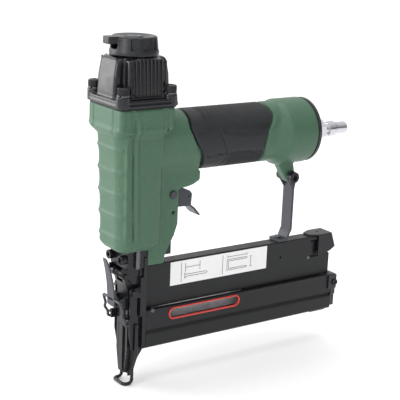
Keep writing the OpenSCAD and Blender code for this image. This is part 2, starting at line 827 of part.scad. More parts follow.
module end_block() {
    color("#222225") difference() {
        union() {
            block([mag_end - 3, -7.6, mag_bottom + 3.2], [mag_end + 0.1, 7.6, 47.8]);
            bar_x(mag_end, mag_end + 4.4) difference() {
                cover_outline(0.1);
                translate([-20, mag_bottom - 1]) square([40, 3]);
            }
            plate_y(-tab_y, -mag_half - fit) tab_side();
            block([mag_end + 0.1, -tab_y, 38.4], [mag_end + 4.4, -mag_half + 1, 49.6]);
        }
        rod_y(1.5, -tab_y - 1, 0, end_screw);
    }
}

// The side view of the end block's tab, which laps over the cover's end.
module tab_side() {
    translate([mag_end - 3.4, 38.4]) square([7.8, 11.2]);
}

module end_block_screw() {
    head = tab_y + 1.2;
    color("#8e9197") difference() {
        union() {
            rod_y(1.5, -tab_y - 0.1, 0, end_screw);
            rod_y(2.6, -head, -tab_y, end_screw);
        }
        for (a = [0, 90]) translate([end_screw[0], -head, end_screw[1]]) rotate([0, a, 0])
            block([-1.9, -1, -0.35], [1.9, 0.8, 0.35]);
    }
}

module magazine_foot() {
    color("#1d1d1f") block([168, -5, 18.4], [184, 5, mag_bottom]);
}

module magazine_catch() {
    color("#76787d") difference() {
        union() {
            plate_y(-3.6, 3.6) polygon([[158.5, 63], [165, 63], [176, 73.5], [184, 69.5], [187.2, 72.4],
                [183.6, 82.8], [168, 79], [158.5, 70]]);
            both_sides() plate_y(5.9, 7.1) polygon([[170.5, 66.8], [182.5, 69.3], [187.2, 72], [183.6, 84],
                [170.5, 84]]);
            plate_y(-7.1, 7.1) polygon([[170.4, 84.4], [183.6, 84.4], [187.8, 72.6], [186.6, 72.2],
                [183, 83.4], [170.4, 83.4]]);
            translate([0, 0, 83.4]) linear_extrude(1) polygon([[163, -3.6], [170.5, -7.1], [170.5, 7.1],
                [163, 3.6]]);
            block([176.5, -7.1, 79], [183.2, 7.1, 84]);
        }
        rod_y(1.55, -9, 9, catch_pin);
        rod_z(1, 78, 86, 174, 0);
    }
}

module catch_pin_rod() {
    color("#9b9da2") rod_y(1.5, -6.1, 6.1, catch_pin);
}

// ---------- support strap ----------

module support_strap() {
    x = lug_pin[0] + 0.9;
    color("#55575b") difference() {
        union() {
            both_sides() plate_y(4, 5.7) {
                translate(lug_pin) circle(eye_r);
                polygon([[136.2, 131.9], [x, 124.4], [x + 2, 124.4], [lug_pin[0] + eye_r, lug_pin[1]]]);
            }
            plate_y(-5.7, 5.7) polygon([[x, 128.8], [x + 2, 128.8], [x + 2, 92], [x - 1.2, 85.3],
                [x - 1.2, mag_top], [x - 11, mag_top], [x - 11, mag_top + 2.4], [x - 3, 85.4], [x, 92.4]]);
        }
        rod_y(lug_pin_r, -6, 6, lug_pin);
        rod_z(1.5, 80, 88, strap_screw_x, 0);
    }
}

module strap_pin() {
    color("#1f1f22") difference() {
        union() {
            rod_y(lug_pin_r, -5.8, 5.8, lug_pin);
            both_sides() rod_y(4.3, 5.7, 9, lug_pin);
        }
        rod_y(2.2, -10, -7, lug_pin);
    }
}

module strap_screw() {
    color("#8e9197") {
        rod_z(1.5, 79.5, mag_top + 2.5, strap_screw_x, 0);
        rod_z(2.6, mag_top + 2.4, mag_top + 4, strap_screw_x, 0);
    }
}

body_housing();
handle_grip();
cylinder_cap();
cap_gasket();
cap_bolts();
cap_washers();
exhaust_deflector();
deflector_screw();
head_valve();
head_valve_seal();
head_valve_spring();
cylinder_sleeve();
cylinder_orings();
piston();
piston_ring();
driver_blade();
bumper();
end_cap();
air_plug();
trigger();
trigger_pin_rod();
trigger_lever();
trigger_lever_pin();
trigger_valve();
valve_stem();
valve_spring();
nose_guide();
nose_screws();
guide_posts();
nose_door();
door_hinge_pin();
door_spring();
latch_lever();
latch_lever_pin();
latch_bail();
contact_wire();
contact_bracket();
safety_arm();
bracket_screws();
safety_spring();
fixed_magazine();
nail_rails();
sliding_magazine();
window_trim();
magazine_label();
brad_strip();
pusher();
pusher_spring();
pusher_rod();
end_block();
end_block_screw();
magazine_foot();
magazine_catch();
catch_pin_rod();
support_strap();
strap_pin();
strap_screw();
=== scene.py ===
"""Brad nailer: the finished looks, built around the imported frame.

Every sub-assembly of the tool is a class. Its fields are its own sizes in millimetres, its methods build
the meshes and dress them in a finish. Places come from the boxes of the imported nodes.
"""

from __future__ import annotations

import json
import logging
import math
from dataclasses import dataclass, field
from enum import Enum
from typing import Sequence

import bmesh
import bpy
import numpy as np
from mathutils import Matrix, Vector

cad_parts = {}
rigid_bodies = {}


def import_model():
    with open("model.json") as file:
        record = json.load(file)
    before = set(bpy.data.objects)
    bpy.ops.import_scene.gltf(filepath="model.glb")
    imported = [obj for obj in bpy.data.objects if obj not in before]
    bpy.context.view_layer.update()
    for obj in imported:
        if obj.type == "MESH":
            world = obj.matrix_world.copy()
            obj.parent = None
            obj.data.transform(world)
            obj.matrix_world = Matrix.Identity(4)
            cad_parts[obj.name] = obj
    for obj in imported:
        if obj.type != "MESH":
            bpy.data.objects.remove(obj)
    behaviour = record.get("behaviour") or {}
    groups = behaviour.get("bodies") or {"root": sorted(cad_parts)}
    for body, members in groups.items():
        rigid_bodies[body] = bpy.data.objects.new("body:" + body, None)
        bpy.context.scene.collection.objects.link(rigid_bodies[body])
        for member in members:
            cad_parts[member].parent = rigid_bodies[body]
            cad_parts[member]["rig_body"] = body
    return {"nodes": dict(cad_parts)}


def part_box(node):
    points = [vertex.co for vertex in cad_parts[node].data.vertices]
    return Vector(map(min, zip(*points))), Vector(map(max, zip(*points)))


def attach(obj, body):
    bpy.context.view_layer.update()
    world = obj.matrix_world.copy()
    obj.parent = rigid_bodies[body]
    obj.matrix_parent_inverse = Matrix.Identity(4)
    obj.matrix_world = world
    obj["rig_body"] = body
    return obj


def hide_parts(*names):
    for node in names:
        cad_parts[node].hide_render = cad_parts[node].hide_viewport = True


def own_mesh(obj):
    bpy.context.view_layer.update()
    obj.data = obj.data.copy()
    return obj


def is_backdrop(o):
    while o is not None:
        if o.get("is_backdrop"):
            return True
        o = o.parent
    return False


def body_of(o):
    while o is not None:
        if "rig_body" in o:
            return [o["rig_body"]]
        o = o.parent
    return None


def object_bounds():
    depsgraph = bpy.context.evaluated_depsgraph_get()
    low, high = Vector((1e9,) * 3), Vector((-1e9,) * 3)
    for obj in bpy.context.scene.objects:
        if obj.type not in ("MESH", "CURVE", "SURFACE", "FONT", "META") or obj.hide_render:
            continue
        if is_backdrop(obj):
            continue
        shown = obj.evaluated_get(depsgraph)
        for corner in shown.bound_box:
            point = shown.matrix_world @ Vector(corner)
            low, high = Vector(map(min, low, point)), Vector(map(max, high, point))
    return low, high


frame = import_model()

LOG = logging.getLogger("brad_nailer")
MM = 0.001
FINISH_PREFIX = "finish_"
Pair = tuple[float, float]
Triple = tuple[float, float, float]


class Axis(Enum):
    """The direction that a plate is thick in or a turned part spins about."""

    X = "x"
    Y = "y"
    Z = "z"

    def point(self, u: float, v: float, w: float) -> Vector:
        """Place a point of an outline.

        Args:
            u: First coordinate in the outline's plane, in millimetres.
            v: Second coordinate in the outline's plane, in millimetres.
            w: Distance along the axis, in millimetres.

        Returns:
            The point in the tool's frame, in metres.
        """
        places = {Axis.X: (w, u, v), Axis.Y: (u, w, v), Axis.Z: (u, v, w)}
        return Vector(places[self]) * MM


@dataclass(frozen=True)
class Span:
    """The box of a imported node, in millimetres."""

    low: Vector
    high: Vector

    @classmethod
    def of(cls, node: str) -> Span:
        """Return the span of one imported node."""
        low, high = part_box(node)
        return cls(low / MM, high / MM)

    @property
    def middle(self) -> Vector:
        """The middle of the box."""
        return (self.low + self.high) / 2


# ---------- outlines ----------

def arc(centre: Pair, radius: float, start: float, end: float, steps: int = 12) -> list[Pair]:
    """Return points along an arc.

    Args:
        centre: Middle of the arc.
        radius: Radius of the arc.
        start: First angle in degrees.
        end: Last angle in degrees.
        steps: Number of chords.

    Returns:
        The points, both ends included.
    """
    angles = [math.radians(start + (end - start) * i / steps) for i in range(steps + 1)]
    return [(centre[0] + radius * math.cos(a), centre[1] + radius * math.sin(a)) for a in angles]


def rounded(corners: Sequence[Pair], radius: float, steps: int = 5) -> list[Pair]:
    """Round the corners of a closed outline.

    Args:
        corners: The sharp corners in order.
        radius: How far each corner is cut back along its sides, at most.
        steps: Number of chords in each round corner.

    Returns:
        The outline's points.
    """
    points: list[Pair] = []
    count = len(corners)
    for i, corner in enumerate(corners):
        here = Vector(corner)
        before = Vector(corners[i - 1]) - here
        after = Vector(corners[(i + 1) % count]) - here
        cut = min(radius, before.length * 0.48, after.length * 0.48)
        first = here + before.normalized() * cut
        last = here + after.normalized() * cut
        for k in range(steps + 1):
            t = k / steps
            place = first * (1 - t) ** 2 + here * 2 * t * (1 - t) + last * t ** 2
            points.append((place.x, place.y))
    return points


def rectangle(low: Pair, high: Pair, radius: float = 0.0) -> list[Pair]:
    """Return a rectangle between two corners, with round corners if a radius is given."""
    corners = [low, (high[0], low[1]), high, (low[0], high[1])]
    return rounded(corners, radius) if radius else corners


def slot_outline(low_x: float, high_x: float, middle_z: float, radius: float) -> list[Pair]:
    """Return an obround outline along X with half-round ends."""
    left = arc((low_x + radius, middle_z), radius, 90, 270)
    right = arc((high_x - radius, middle_z), radius, -90, 90)
    return left + right


# ---------- meshes ----------

class Shape:
    """A closed mesh under construction. Sizes go in as millimetres and come out as metres."""

    def __init__(self) -> None:
        """Start with nothing."""
        self.bm = bmesh.new()

    def _wall(self, rings: Sequence[Sequence[bmesh.types.BMVert]], loop: bool = False) -> None:
        """Join rings of equal length by quads, and the last ring to the first one if loop is set."""
        pairs = list(zip(rings, rings[1:])) + ([(rings[-1], rings[0])] if loop else [])
        for a, b in pairs:
            for i in range(len(a)):
                j = (i + 1) % len(a)
                self.bm.faces.new((a[i], a[j], b[j], b[i]))

    def loft(self, rings: Sequence[Sequence[Vector]], loop: bool = False) -> Shape:
        """Add a skin through rings of points in metres.

        Args:
            rings: Rings with equal numbers of points.
            loop: Join the last ring to the first one, and leave out the two end faces.

        Returns:
            This shape.
        """
        made = [[self.bm.verts.new(p) for p in ring] for ring in rings]
        self._wall(made, loop)
        if not loop:
            self.bm.faces.new(made[0])
            self.bm.faces.new(made[-1])
        return self

    def plate(self, outline: Sequence[Pair], low: float, high: float, axis: Axis = Axis.Y) -> Shape:
        """Add a plate with an outline.

        Args:
            outline: Corners in the plane across the axis.
            low: Where the plate starts along the axis.
            high: Where it ends.
            axis: The direction in which it is thick.

        Returns:
            This shape.
        """
        return self.loft([[axis.point(u, v, w) for u, v in outline] for w in (low, high)])

    def box(self, low: Triple, high: Triple) -> Shape:
        """Add a box between two corners and return this shape."""
        return self.plate(rectangle((low[0], low[1]), (high[0], high[1])), low[2], high[2], Axis.Z)

    def turned(self, profile: Sequence[Pair], axis: Axis, centre: Pair = (0, 0), steps: int = 64,
               hollow: bool = False) -> Shape:
        """Add a turned part.

        Args:
            profile: Pairs of distance along the axis and radius. Without hollow, it starts and ends
                on faces that are closed flat.
            axis: The axis that it is turned about.
            centre: Where the axis passes, in the outline's plane.
            steps: Number of facets round it.
            hollow: The profile is a closed loop round a hole.

        Returns:
            This shape.
        """
        turns = [2 * math.pi * i / steps for i in range(steps)]
        rings = [[axis.point(centre[0] + r * math.cos(a), centre[1] + r * math.sin(a), w) for a in turns]
                 for w, r in profile]
        return self.loft(rings, hollow)

    def copy_of(self, node: str) -> Shape:
        """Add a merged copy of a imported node's mesh and return this shape."""
        other = bmesh.new()
        other.from_mesh(frame["nodes"][node].data)
        bmesh.ops.remove_doubles(other, verts=other.verts, dist=2e-6)
        bmesh.ops.dissolve_degenerate(other, edges=other.edges, dist=2e-6)
        mesh = bpy.data.meshes.new("copy")
        other.to_mesh(mesh)
        other.free()
        self.bm.from_mesh(mesh)
        bpy.data.meshes.remove(mesh)
        return self

    def mesh_of(self, mesh: bpy.types.Mesh) -> Shape:
        """Add a mesh that another tool made and return this shape."""
        self.bm.from_mesh(mesh)
        bpy.data.meshes.remove(mesh)
        return self

    def take(self, *pieces: bpy.types.Object) -> Shape:
        """Add the meshes of objects, remove the objects and return this shape."""
        for piece in pieces:
            self.bm.from_mesh(piece.data)
            bpy.data.objects.remove(piece)
        return self

    def both_sides(self) -> Shape:
        """Add the mirror image across the tool's middle plane and return this shape."""
        found = bmesh.ops.duplicate(self.bm, geom=self.bm.verts[:] + self.bm.edges[:] + self.bm.faces[:])
        for item in found["geom"]:
            if isinstance(item, bmesh.types.BMVert):
                item.co.y = -item.co.y
        return self

    def object(self, name: str) -> bpy.types.Object:
        """Return a new object with this mesh, its faces turned outwards."""
        bmesh.ops.recalc_face_normals(self.bm, faces=self.bm.faces)
        mesh = bpy.data.meshes.new(name)
        self.bm.to_mesh(mesh)
        self.bm.free()
        made = bpy.data.objects.new(name, mesh)
        bpy.context.scene.collection.objects.link(made)
        return made


def apply_modifiers(piece: bpy.types.Object) -> bpy.types.Object:
    """Turn a piece's modifiers into plain mesh and return the piece."""
    graph = bpy.context.evaluated_depsgraph_get()
    graph.update()
    mesh = bpy.data.meshes.new_from_object(piece.evaluated_get(graph))
    piece.modifiers.clear()
    piece.data = mesh
    return piece


def cut(piece: bpy.types.Object, tool: Shape) -> bpy.types.Object:
    """Cut a shape out of a piece and return the piece."""
    cutter = tool.object("cutter")
    step = piece.modifiers.new("cut", "BOOLEAN")
    step.operation = "DIFFERENCE"
    step.solver = "EXACT"
    step.object = cutter
    apply_modifiers(piece)
    bpy.data.objects.remove(cutter)
    return piece


def flatten(piece: bpy.types.Object, angle: float = 1.0) -> bpy.types.Object:
    """Join the triangles of each flat face into one face and return the piece."""
    bm = bmesh.new()
    bm.from_mesh(piece.data)
    bmesh.ops.dissolve_limit(bm, angle_limit=math.radians(angle), verts=bm.verts, edges=bm.edges)
    bm.to_mesh(piece.data)
    bm.free()
    return piece


def round_edges(piece: bpy.types.Object, width: float, segments: int = 2,
                angle: float = 28.0) -> bpy.types.Object:
    """Round a piece's sharp edges.

    Args:
        piece: The piece, with its flat faces joined.
        width: Width of the rounding in millimetres.
        segments: Number of facets across it.
        angle: Edges sharper than this many degrees are rounded.

    Returns:
        The piece.
    """
    step = piece.modifiers.new("round", "BEVEL")
    step.width = width * MM
    step.segments = segments
    step.limit_method = "ANGLE"
    step.angle_limit = math.radians(angle)
    step.miter_outer = "MITER_ARC"
    step.use_clamp_overlap = True
    return apply_modifiers(piece)


def melt(piece: bpy.types.Object, voxel: float, rounds: int) -> bpy.types.Object:
    """Blend overlapping solids into one cast skin with soft inner and outer corners.

    Args:
        piece: The piece, made of closed solids.
        voxel: Size of the skin's squares in millimetres.
        rounds: How often the skin is smoothed.

    Returns:
        The piece.
    """
    grid = piece.modifiers.new("skin", "REMESH")
    grid.mode = "VOXEL"
    grid.voxel_size = voxel * MM
    soft = piece.modifiers.new("soft", "SMOOTH")
    soft.factor = 0.5
    soft.iterations = rounds
    return apply_modifiers(piece)


def even_shading(piece: bpy.types.Object) -> bpy.types.Object:
    """Let the large faces of a piece set the shading at its rounded edges, and return it."""
    shade(piece)
    step = piece.modifiers.new("even", "WEIGHTED_NORMAL")
    step.keep_sharp = True
    step.weight = 60
    return apply_modifiers(piece)


def shade(piece: bpy.types.Object, angle: float = 35.0) -> bpy.types.Object:
    """Shade a piece smooth, with its edges sharper than an angle kept, and return it."""
    mesh = piece.data
    mesh.polygons.foreach_set("use_smooth", [True] * len(mesh.polygons))
    mesh.set_sharp_from_angle(angle=math.radians(angle))
    mesh.update()
    return piece


# ---------- repeated and swept parts ----------

class Tree:
    """A Geometry Nodes tree with named inputs."""

    def __init__(self, name: str, inputs: dict[str, tuple[str, object]]) -> None:
        """Start a tree.

        Args:
            name: The tree's name.
            inputs: Socket type and default value of each input, by name.
        """
        self.group = bpy.data.node_groups.new(name, "GeometryNodeTree")
        face = self.group.interface
        face.new_socket(name="Geometry", in_out="INPUT", socket_type="NodeSocketGeometry")
        self.keys: dict[str, str] = {}
        self.defaults = {label: value for label, (_, value) in inputs.items()}
        for label, (kind, _) in inputs.items():
            self.keys[label] = face.new_socket(name=label, in_out="INPUT", socket_type=kind).identifier
        self.keys["Material"] = face.new_socket(
            name="Material", in_out="INPUT", socket_type="NodeSocketMaterial").identifier
        face.new_socket(name="Geometry", in_out="OUTPUT", socket_type="NodeSocketGeometry")
        self.given = self.node("NodeGroupInput")
        self.result = self.node("NodeGroupOutput")

    def node(self, kind: str, **settings: object) -> bpy.types.Node:
        """Add a node and return it."""
        made = self.group.nodes.new(kind)
        for key, value in settings.items():
            setattr(made, key, value)
        return made

    def link(self, start: bpy.types.NodeSocket, end: bpy.types.NodeSocket) -> None:
        """Link two sockets."""
        self.group.links.new(start, end)

    def feed(self, node: bpy.types.Node, **sockets: str) -> None:
        """Link the tree's inputs to a node: socket name, with underscores for spaces, to input name."""
        for socket, label in sockets.items():
            self.link(self.given.outputs[label], node.inputs[socket.replace("_", " ")])

    def close(self, geometry: bpy.types.NodeSocket) -> Tree:
        """End the tree in real geometry with a material and return the tree."""
        real = self.node("GeometryNodeRealizeInstances")
        paint = self.node("GeometryNodeSetMaterial")
        self.link(geometry, real.inputs["Geometry"])
        self.link(real.outputs["Geometry"], paint.inputs["Geometry"])
        self.link(self.given.outputs["Material"], paint.inputs["Material"])
        self.link(paint.outputs["Geometry"], self.result.inputs["Geometry"])
        return self

    def run(self, base: Shape, **values: object) -> bpy.types.Mesh:
        """Run the tree.

        Args:
            base: The shape that the tree works on.
            **values: Input values by name, with underscores for spaces.

        Returns:
            The plain mesh that comes out.
        """
        carrier = base.object("carrier")
        step = carrier.modifiers.new("tree", "NODES")
        step.node_group = self.group
        wanted = {**self.defaults, **{k.replace("_", " "): v for k, v in values.items()}}
        for label, value in wanted.items():
            step[self.keys[label]] = value
        apply_modifiers(carrier)
        mesh = carrier.data
        bpy.data.objects.remove(carrier)
        return mesh


def row_tree() -> Tree:
    """Return a tree that repeats its geometry in a straight row."""
    tree = Tree("row", {"Count": ("NodeSocketInt", 2), "Step": ("NodeSocketVector", (0.0, 0.0, 0.0))})
    line = tree.node("GeometryNodeMeshLine", mode="OFFSET", count_mode="TOTAL")
    place = tree.node("GeometryNodeInstanceOnPoints")
    tree.feed(line, Count="Count", Offset="Step")
    tree.link(line.outputs["Mesh"], place.inputs["Points"])
    tree.feed(place, Instance="Geometry")
    return tree.close(place.outputs["Instances"])


def ring_tree() -> Tree:
    """Return a tree that repeats its geometry in a ring about the Z axis."""
    tree = Tree("ring", {"Count": ("NodeSocketInt", 2), "Angle": ("NodeSocketFloat", 0.1),
                         "First": ("NodeSocketFloat", 0.0)})
    line = tree.node("GeometryNodeMeshLine", mode="OFFSET", count_mode="TOTAL")
    line.inputs["Offset"].default_value = (0.0, 0.0, 0.0)
    index = tree.node("GeometryNodeInputIndex")
    turn = tree.node("ShaderNodeMath", operation="MULTIPLY_ADD")
    spin = tree.node("ShaderNodeCombineXYZ")
    euler = tree.node("FunctionNodeEulerToRotation")
    place = tree.node("GeometryNodeInstanceOnPoints")
    tree.feed(line, Count="Count")
    tree.link(index.outputs["Index"], turn.inputs[0])
    tree.link(tree.given.outputs["Angle"], turn.inputs[1])
    tree.link(tree.given.outputs["First"], turn.inputs[2])
    tree.link(turn.outputs["Value"], spin.inputs["Z"])
    tree.link(spin.outputs["Vector"], euler.inputs["Euler"])
    tree.link(line.outputs["Mesh"], place.inputs["Points"])
    tree.feed(place, Instance="Geometry")
    tree.link(euler.outputs["Rotation"], place.inputs["Rotation"])
    return tree.close(place.outputs["Instances"])


def wire_tree() -> Tree:
    """Return a tree that bends a round wire along a path of straight edges."""
    tree = Tree("wire", {"Wire radius": ("NodeSocketFloat", 0.001), "Bend radius": ("NodeSocketFloat", 0.002),
                         "Sides": ("NodeSocketInt", 16)})
    curve = tree.node("GeometryNodeMeshToCurve")
    bend = tree.node("GeometryNodeFilletCurve", mode="POLY")
    bend.inputs["Limit Radius"].default_value = True
    bend.inputs["Count"].default_value = 7
    section = tree.node("GeometryNodeCurvePrimitiveCircle")
    skin = tree.node("GeometryNodeCurveToMesh")
    skin.inputs["Fill Caps"].default_value = True
    tree.feed(curve, Mesh="Geometry")
    tree.link(curve.outputs["Curve"], bend.inputs["Curve"])
    tree.feed(bend, Radius="Bend radius")
    tree.feed(section, Radius="Wire radius", Resolution="Sides")
    tree.link(bend.outputs["Curve"], skin.inputs["Curve"])
    tree.link(section.outputs["Curve"], skin.inputs["Profile Curve"])
    return tree.close(skin.outputs["Mesh"])


def coil_tree() -> Tree:
    """Return a tree that winds a coil spring along Z, then turns and places it."""
    tree = Tree("coil", {"Coil radius": ("NodeSocketFloat", 0.003),
                         "Wire radius": ("NodeSocketFloat", 0.0004),
                         "Length": ("NodeSocketFloat", 0.01), "Turns": ("NodeSocketFloat", 5.0),
                         "Turned": ("NodeSocketVector", (0.0, 0.0, 0.0)),
                         "Place": ("NodeSocketVector", (0.0, 0.0, 0.0))})
    spiral = tree.node("GeometryNodeCurveSpiral")
    spiral.inputs["Resolution"].default_value = 28
    section = tree.node("GeometryNodeCurvePrimitiveCircle")
    section.inputs["Resolution"].default_value = 10
    skin = tree.node("GeometryNodeCurveToMesh")
    skin.inputs["Fill Caps"].default_value = True
    place = tree.node("GeometryNodeTransform")
    tree.feed(spiral, Start_Radius="Coil radius", End_Radius="Coil radius", Height="Length",
              Rotations="Turns")
    tree.feed(section, Radius="Wire radius")
    tree.link(spiral.outputs["Curve"], skin.inputs["Curve"])
    tree.link(section.outputs["Curve"], skin.inputs["Profile Curve"])
    tree.link(skin.outputs["Mesh"], place.inputs["Geometry"])
    tree.feed(place, Rotation="Turned", Translation="Place")
    return tree.close(place.outputs["Geometry"])


class Trees:
    """The trees that the sub-assemblies share."""

    row = row_tree()
    ring = ring_tree()
    wire = wire_tree()
    coil = coil_tree()


def path_shape(points: Sequence[Triple]) -> Shape:
    """Return a shape that is only a path of straight edges through points in millimetres."""
    path = Shape()
    verts = [path.bm.verts.new(Vector(p) * MM) for p in points]
    for a, b in zip(verts, verts[1:]):
        path.bm.edges.new((a, b))
    return path


# ---------- finishes ----------

def tint(red: int, green: int, blue: int) -> Triple:
    """Return the linear colour of a display colour given from 0 to 255."""
    parts = [c / 255 for c in (red, green, blue)]
    linear = [p / 12.92 if p <= 0.04045 else ((p + 0.055) / 1.055) ** 2.4 for p in parts]
    return (linear[0], linear[1], linear[2])


@dataclass(frozen=True)
class Finish:
    """One surface finish, made as a procedural material.

    Attributes:
        name: The material's name, after the prefix that all finishes share.
        slot: The record's material slot, not used.
        colour: Linear base colour.
        roughness: Middle of the roughness range.
        metallic: 1 for bare metal, 0 for the rest.
        mottle: Share by which the colour varies.
        mottle_size: Size of the colour patches in millimetres.
        grain: Height of the fine relief in millimetres.
        grain_size: Size of its grains in millimetres.
        stretch: How much longer the grains are along each axis.
        coat: Strength of a clear coat.
        worn: Colour of the worn edges, if the finish wears.
        wear: How much of the edges is worn.
        specular: Specular level of the base.
    """

    name: str
    slot: str
    colour: Triple
    roughness: float
    metallic: float = 0.0
    mottle: float = 0.12
    mottle_size: float = 9.0
    grain: float = 0.03
    grain_size: float = 0.5
    stretch: Triple = (1.0, 1.0, 1.0)
    coat: float = 0.0
    worn: Triple | None = None
    wear: float = 0.0
    specular: float = 0.5

    def material(self) -> bpy.types.Material:
        """Return the material, made once."""
        found = bpy.data.materials.get(FINISH_PREFIX + self.name)
        return found if found else self._make()

    def _make(self) -> bpy.types.Material:
        """Build the material's nodes and return the material."""
        made = bpy.data.materials.new(FINISH_PREFIX + self.name)
        made.use_nodes = True
        nodes, links = made.node_tree.nodes, made.node_tree.links
        shader = next(n for n in nodes if n.type == "BSDF_PRINCIPLED")
        shader.inputs["Metallic"].default_value = self.metallic
        shader.inputs["Specular IOR Level"].default_value = self.specular
        shader.inputs["Coat Weight"].default_value = self.coat
        shader.inputs["Coat Roughness"].default_value = 0.25
        place = nodes.new("ShaderNodeTexCoord")
        spread = nodes.new("ShaderNodeMapping")
        spread.inputs["Scale"].default_value = [1 / s for s in self.stretch]
        links.new(place.outputs["Object"], spread.inputs["Vector"])

        def noise(size: float, detail: float, source: bpy.types.NodeSocket) -> bpy.types.Node:
            """Return a noise texture whose patches have the given size in millimetres."""
            made_noise = nodes.new("ShaderNodeTexNoise")
            made_noise.inputs["Scale"].default_value = 1 / (size * MM)
            made_noise.inputs["Detail"].default_value = detail
            links.new(source, made_noise.inputs["Vector"])
            return made_noise

        patches = noise(self.mottle_size, 5.0, place.outputs["Object"])
        grains = noise(self.grain_size, 3.0, spread.outputs["Vector"])
        ramp = nodes.new("ShaderNodeValToRGB")
        for stop, place_on, share in zip(ramp.color_ramp.elements, (0.3, 0.7), (-self.mottle, self.mottle)):
            stop.position = place_on
            stop.color = (*[min(1, c * (1 + share)) for c in self.colour], 1)
        links.new(patches.outputs["Fac"], ramp.inputs["Fac"])
        colour = ramp.outputs["Color"]
        if self.worn:
            colour = self._worn_edges(nodes, links, colour, grains)
        links.new(colour, shader.inputs["Base Color"])
        rough = nodes.new("ShaderNodeMapRange")
        limits = (0.3, 0.7, max(0.02, self.roughness - 0.07), min(1.0, self.roughness + 0.07))
        for socket, value in zip(("From Min", "From Max", "To Min", "To Max"), limits):
            rough.inputs[socket].default_value = value
        links.new(patches.outputs["Fac"], rough.inputs["Value"])
        links.new(rough.outputs["Result"], shader.inputs["Roughness"])
        bump = nodes.new("ShaderNodeBump")
        bump.inputs["Distance"].default_value = self.grain * MM
        bump.inputs["Strength"].default_value = 1.0
        links.new(grains.outputs["Fac"], bump.inputs["Height"])
        links.new(bump.outputs["Normal"], shader.inputs["Normal"])
        return made

    def _worn_edges(self, nodes: bpy.types.Nodes, links: bpy.types.NodeLinks,
                    colour: bpy.types.NodeSocket, grains: bpy.types.Node) -> bpy.types.NodeSocket:
        """Blend the worn colour in where the mesh is sharp.

        Args:
            nodes: The material's nodes.
            links: The material's links.
            colour: The colour so far.
            grains: The fine noise, which breaks the wear up.

        Returns:
            The colour with worn edges.
        """
        shape = nodes.new("ShaderNodeNewGeometry")
        sharp = nodes.new("ShaderNodeMapRange")
        sharp.inputs["From Min"].default_value = 0.53
        sharp.inputs["From Max"].default_value = 0.62
        sharp.inputs["To Max"].default_value = self.wear
        broken = nodes.new("ShaderNodeMath")
        broken.operation = "MULTIPLY"
        mix = nodes.new("ShaderNodeMix")
        mix.data_type = "RGBA"
        links.new(shape.outputs["Pointiness"], sharp.inputs["Value"])
        links.new(sharp.outputs["Result"], broken.inputs[0])
        links.new(grains.outputs["Fac"], broken.inputs[1])
        links.new(broken.outputs["Value"], mix.inputs["Factor"])
        links.new(colour, mix.inputs["A"])
        mix.inputs["B"].default_value = (*self.worn, 1)
        return mix.outputs["Result"]


GREEN = Finish("green_enamel", "green_paint", tint(68, 100, 79), 0.42, mottle=0.09, mottle_size=1.6,
               grain=0.07, grain_size=0.9, worn=tint(140, 170, 150), wear=0.6, specular=0.35)
RUBBER = Finish("grip_rubber", "grip_rubber", tint(40, 41, 43), 0.5, mottle=0.08, grain=0.02,
                grain_size=0.3, specular=0.3)
CAST_BLACK = Finish("black_enamel", "black_casting", tint(20, 21, 24), 0.2, mottle=0.05, grain=0.006,
                    grain_size=0.6, worn=tint(120, 120, 125), wear=0.2, specular=0.45)
RAIL_BLACK = Finish("rail_black", "black_casting", tint(28, 29, 31), 0.38, mottle=0.06, grain=0.006,
                    grain_size=0.3, stretch=(14.0, 1.0, 1.0), specular=0.3)
PLASTIC = Finish("black_plastic", "black_plastic", tint(31, 32, 35), 0.34, mottle=0.06, grain=0.015,
                 grain_size=0.35, worn=tint(110, 110, 115), wear=0.3, specular=0.4)
OXIDE = Finish("black_oxide", "black_steel", tint(30, 30, 34), 0.3, metallic=0.2, mottle=0.14,
               mottle_size=4.0, grain=0.012, grain_size=0.35, specular=0.4)
SATIN = Finish("satin_steel", "black_steel", tint(66, 68, 73), 0.4, metallic=0.3, mottle=0.1,
               mottle_size=6.0, grain=0.008, grain_size=0.3, stretch=(1.0, 1.0, 6.0), specular=0.35)
ZINC = Finish("grey_zinc", "grey_steel", tint(92, 94, 99), 0.42, metallic=0.5, mottle=0.1,
              mottle_size=5.0, grain=0.008, grain_size=0.3, stretch=(1.0, 1.0, 6.0))
BRIGHT = Finish("bright_steel", "bright_steel", tint(176, 178, 183), 0.3, metallic=1.0, mottle=0.06,
                grain=0.006, grain_size=0.25, stretch=(1.0, 1.0, 9.0))
# Brads: a near-white, almost matt colour that paints the sheen the bright steel would catch, since little
# light reaches them behind the window.
COATED_AND_PAINTED_SHEEN = Finish("coated_steel_painted_sheen", "bright_steel", tint(228, 229, 233), 0.45, metallic=0.1, mottle=0.1,
                grain=0.004, grain_size=0.3)
SPRING = Finish("spring_wire", "spring_steel", tint(120, 121, 126), 0.35, metallic=0.8, mottle=0.1)
NICKEL = Finish("bright_nickel", "nickel", tint(205, 205, 210), 0.1, metallic=1.0, mottle=0.03,
                grain=0.003, grain_size=0.6)
ALUMINIUM = Finish("turned_aluminium", "aluminium", tint(205, 207, 211), 0.3, metallic=1.0, mottle=0.05,
                   grain=0.005, grain_size=0.3)
SEAL = Finish("seal_rubber", "seal_rubber", tint(22, 22, 24), 0.5, mottle=0.1, grain=0.01, specular=0.35)
BRASS = Finish("turned_brass", "brass", tint(205, 172, 108), 0.3, metallic=1.0, mottle=0.06,
               grain=0.004, grain_size=0.3)
RED = Finish("red_trim", "red_trim", tint(205, 52, 40), 0.35, mottle=0.05, grain=0.004, coat=0.3)
INK = Finish("print_grey", "black_plastic", tint(70, 71, 74), 0.6, mottle=0.04, grain=0.002)
LABEL = Finish("label_white", "label_white", tint(240, 240, 241), 0.5, mottle=0.015, grain=0.004,
               grain_size=1.2)


# ---------- assemblies ----------

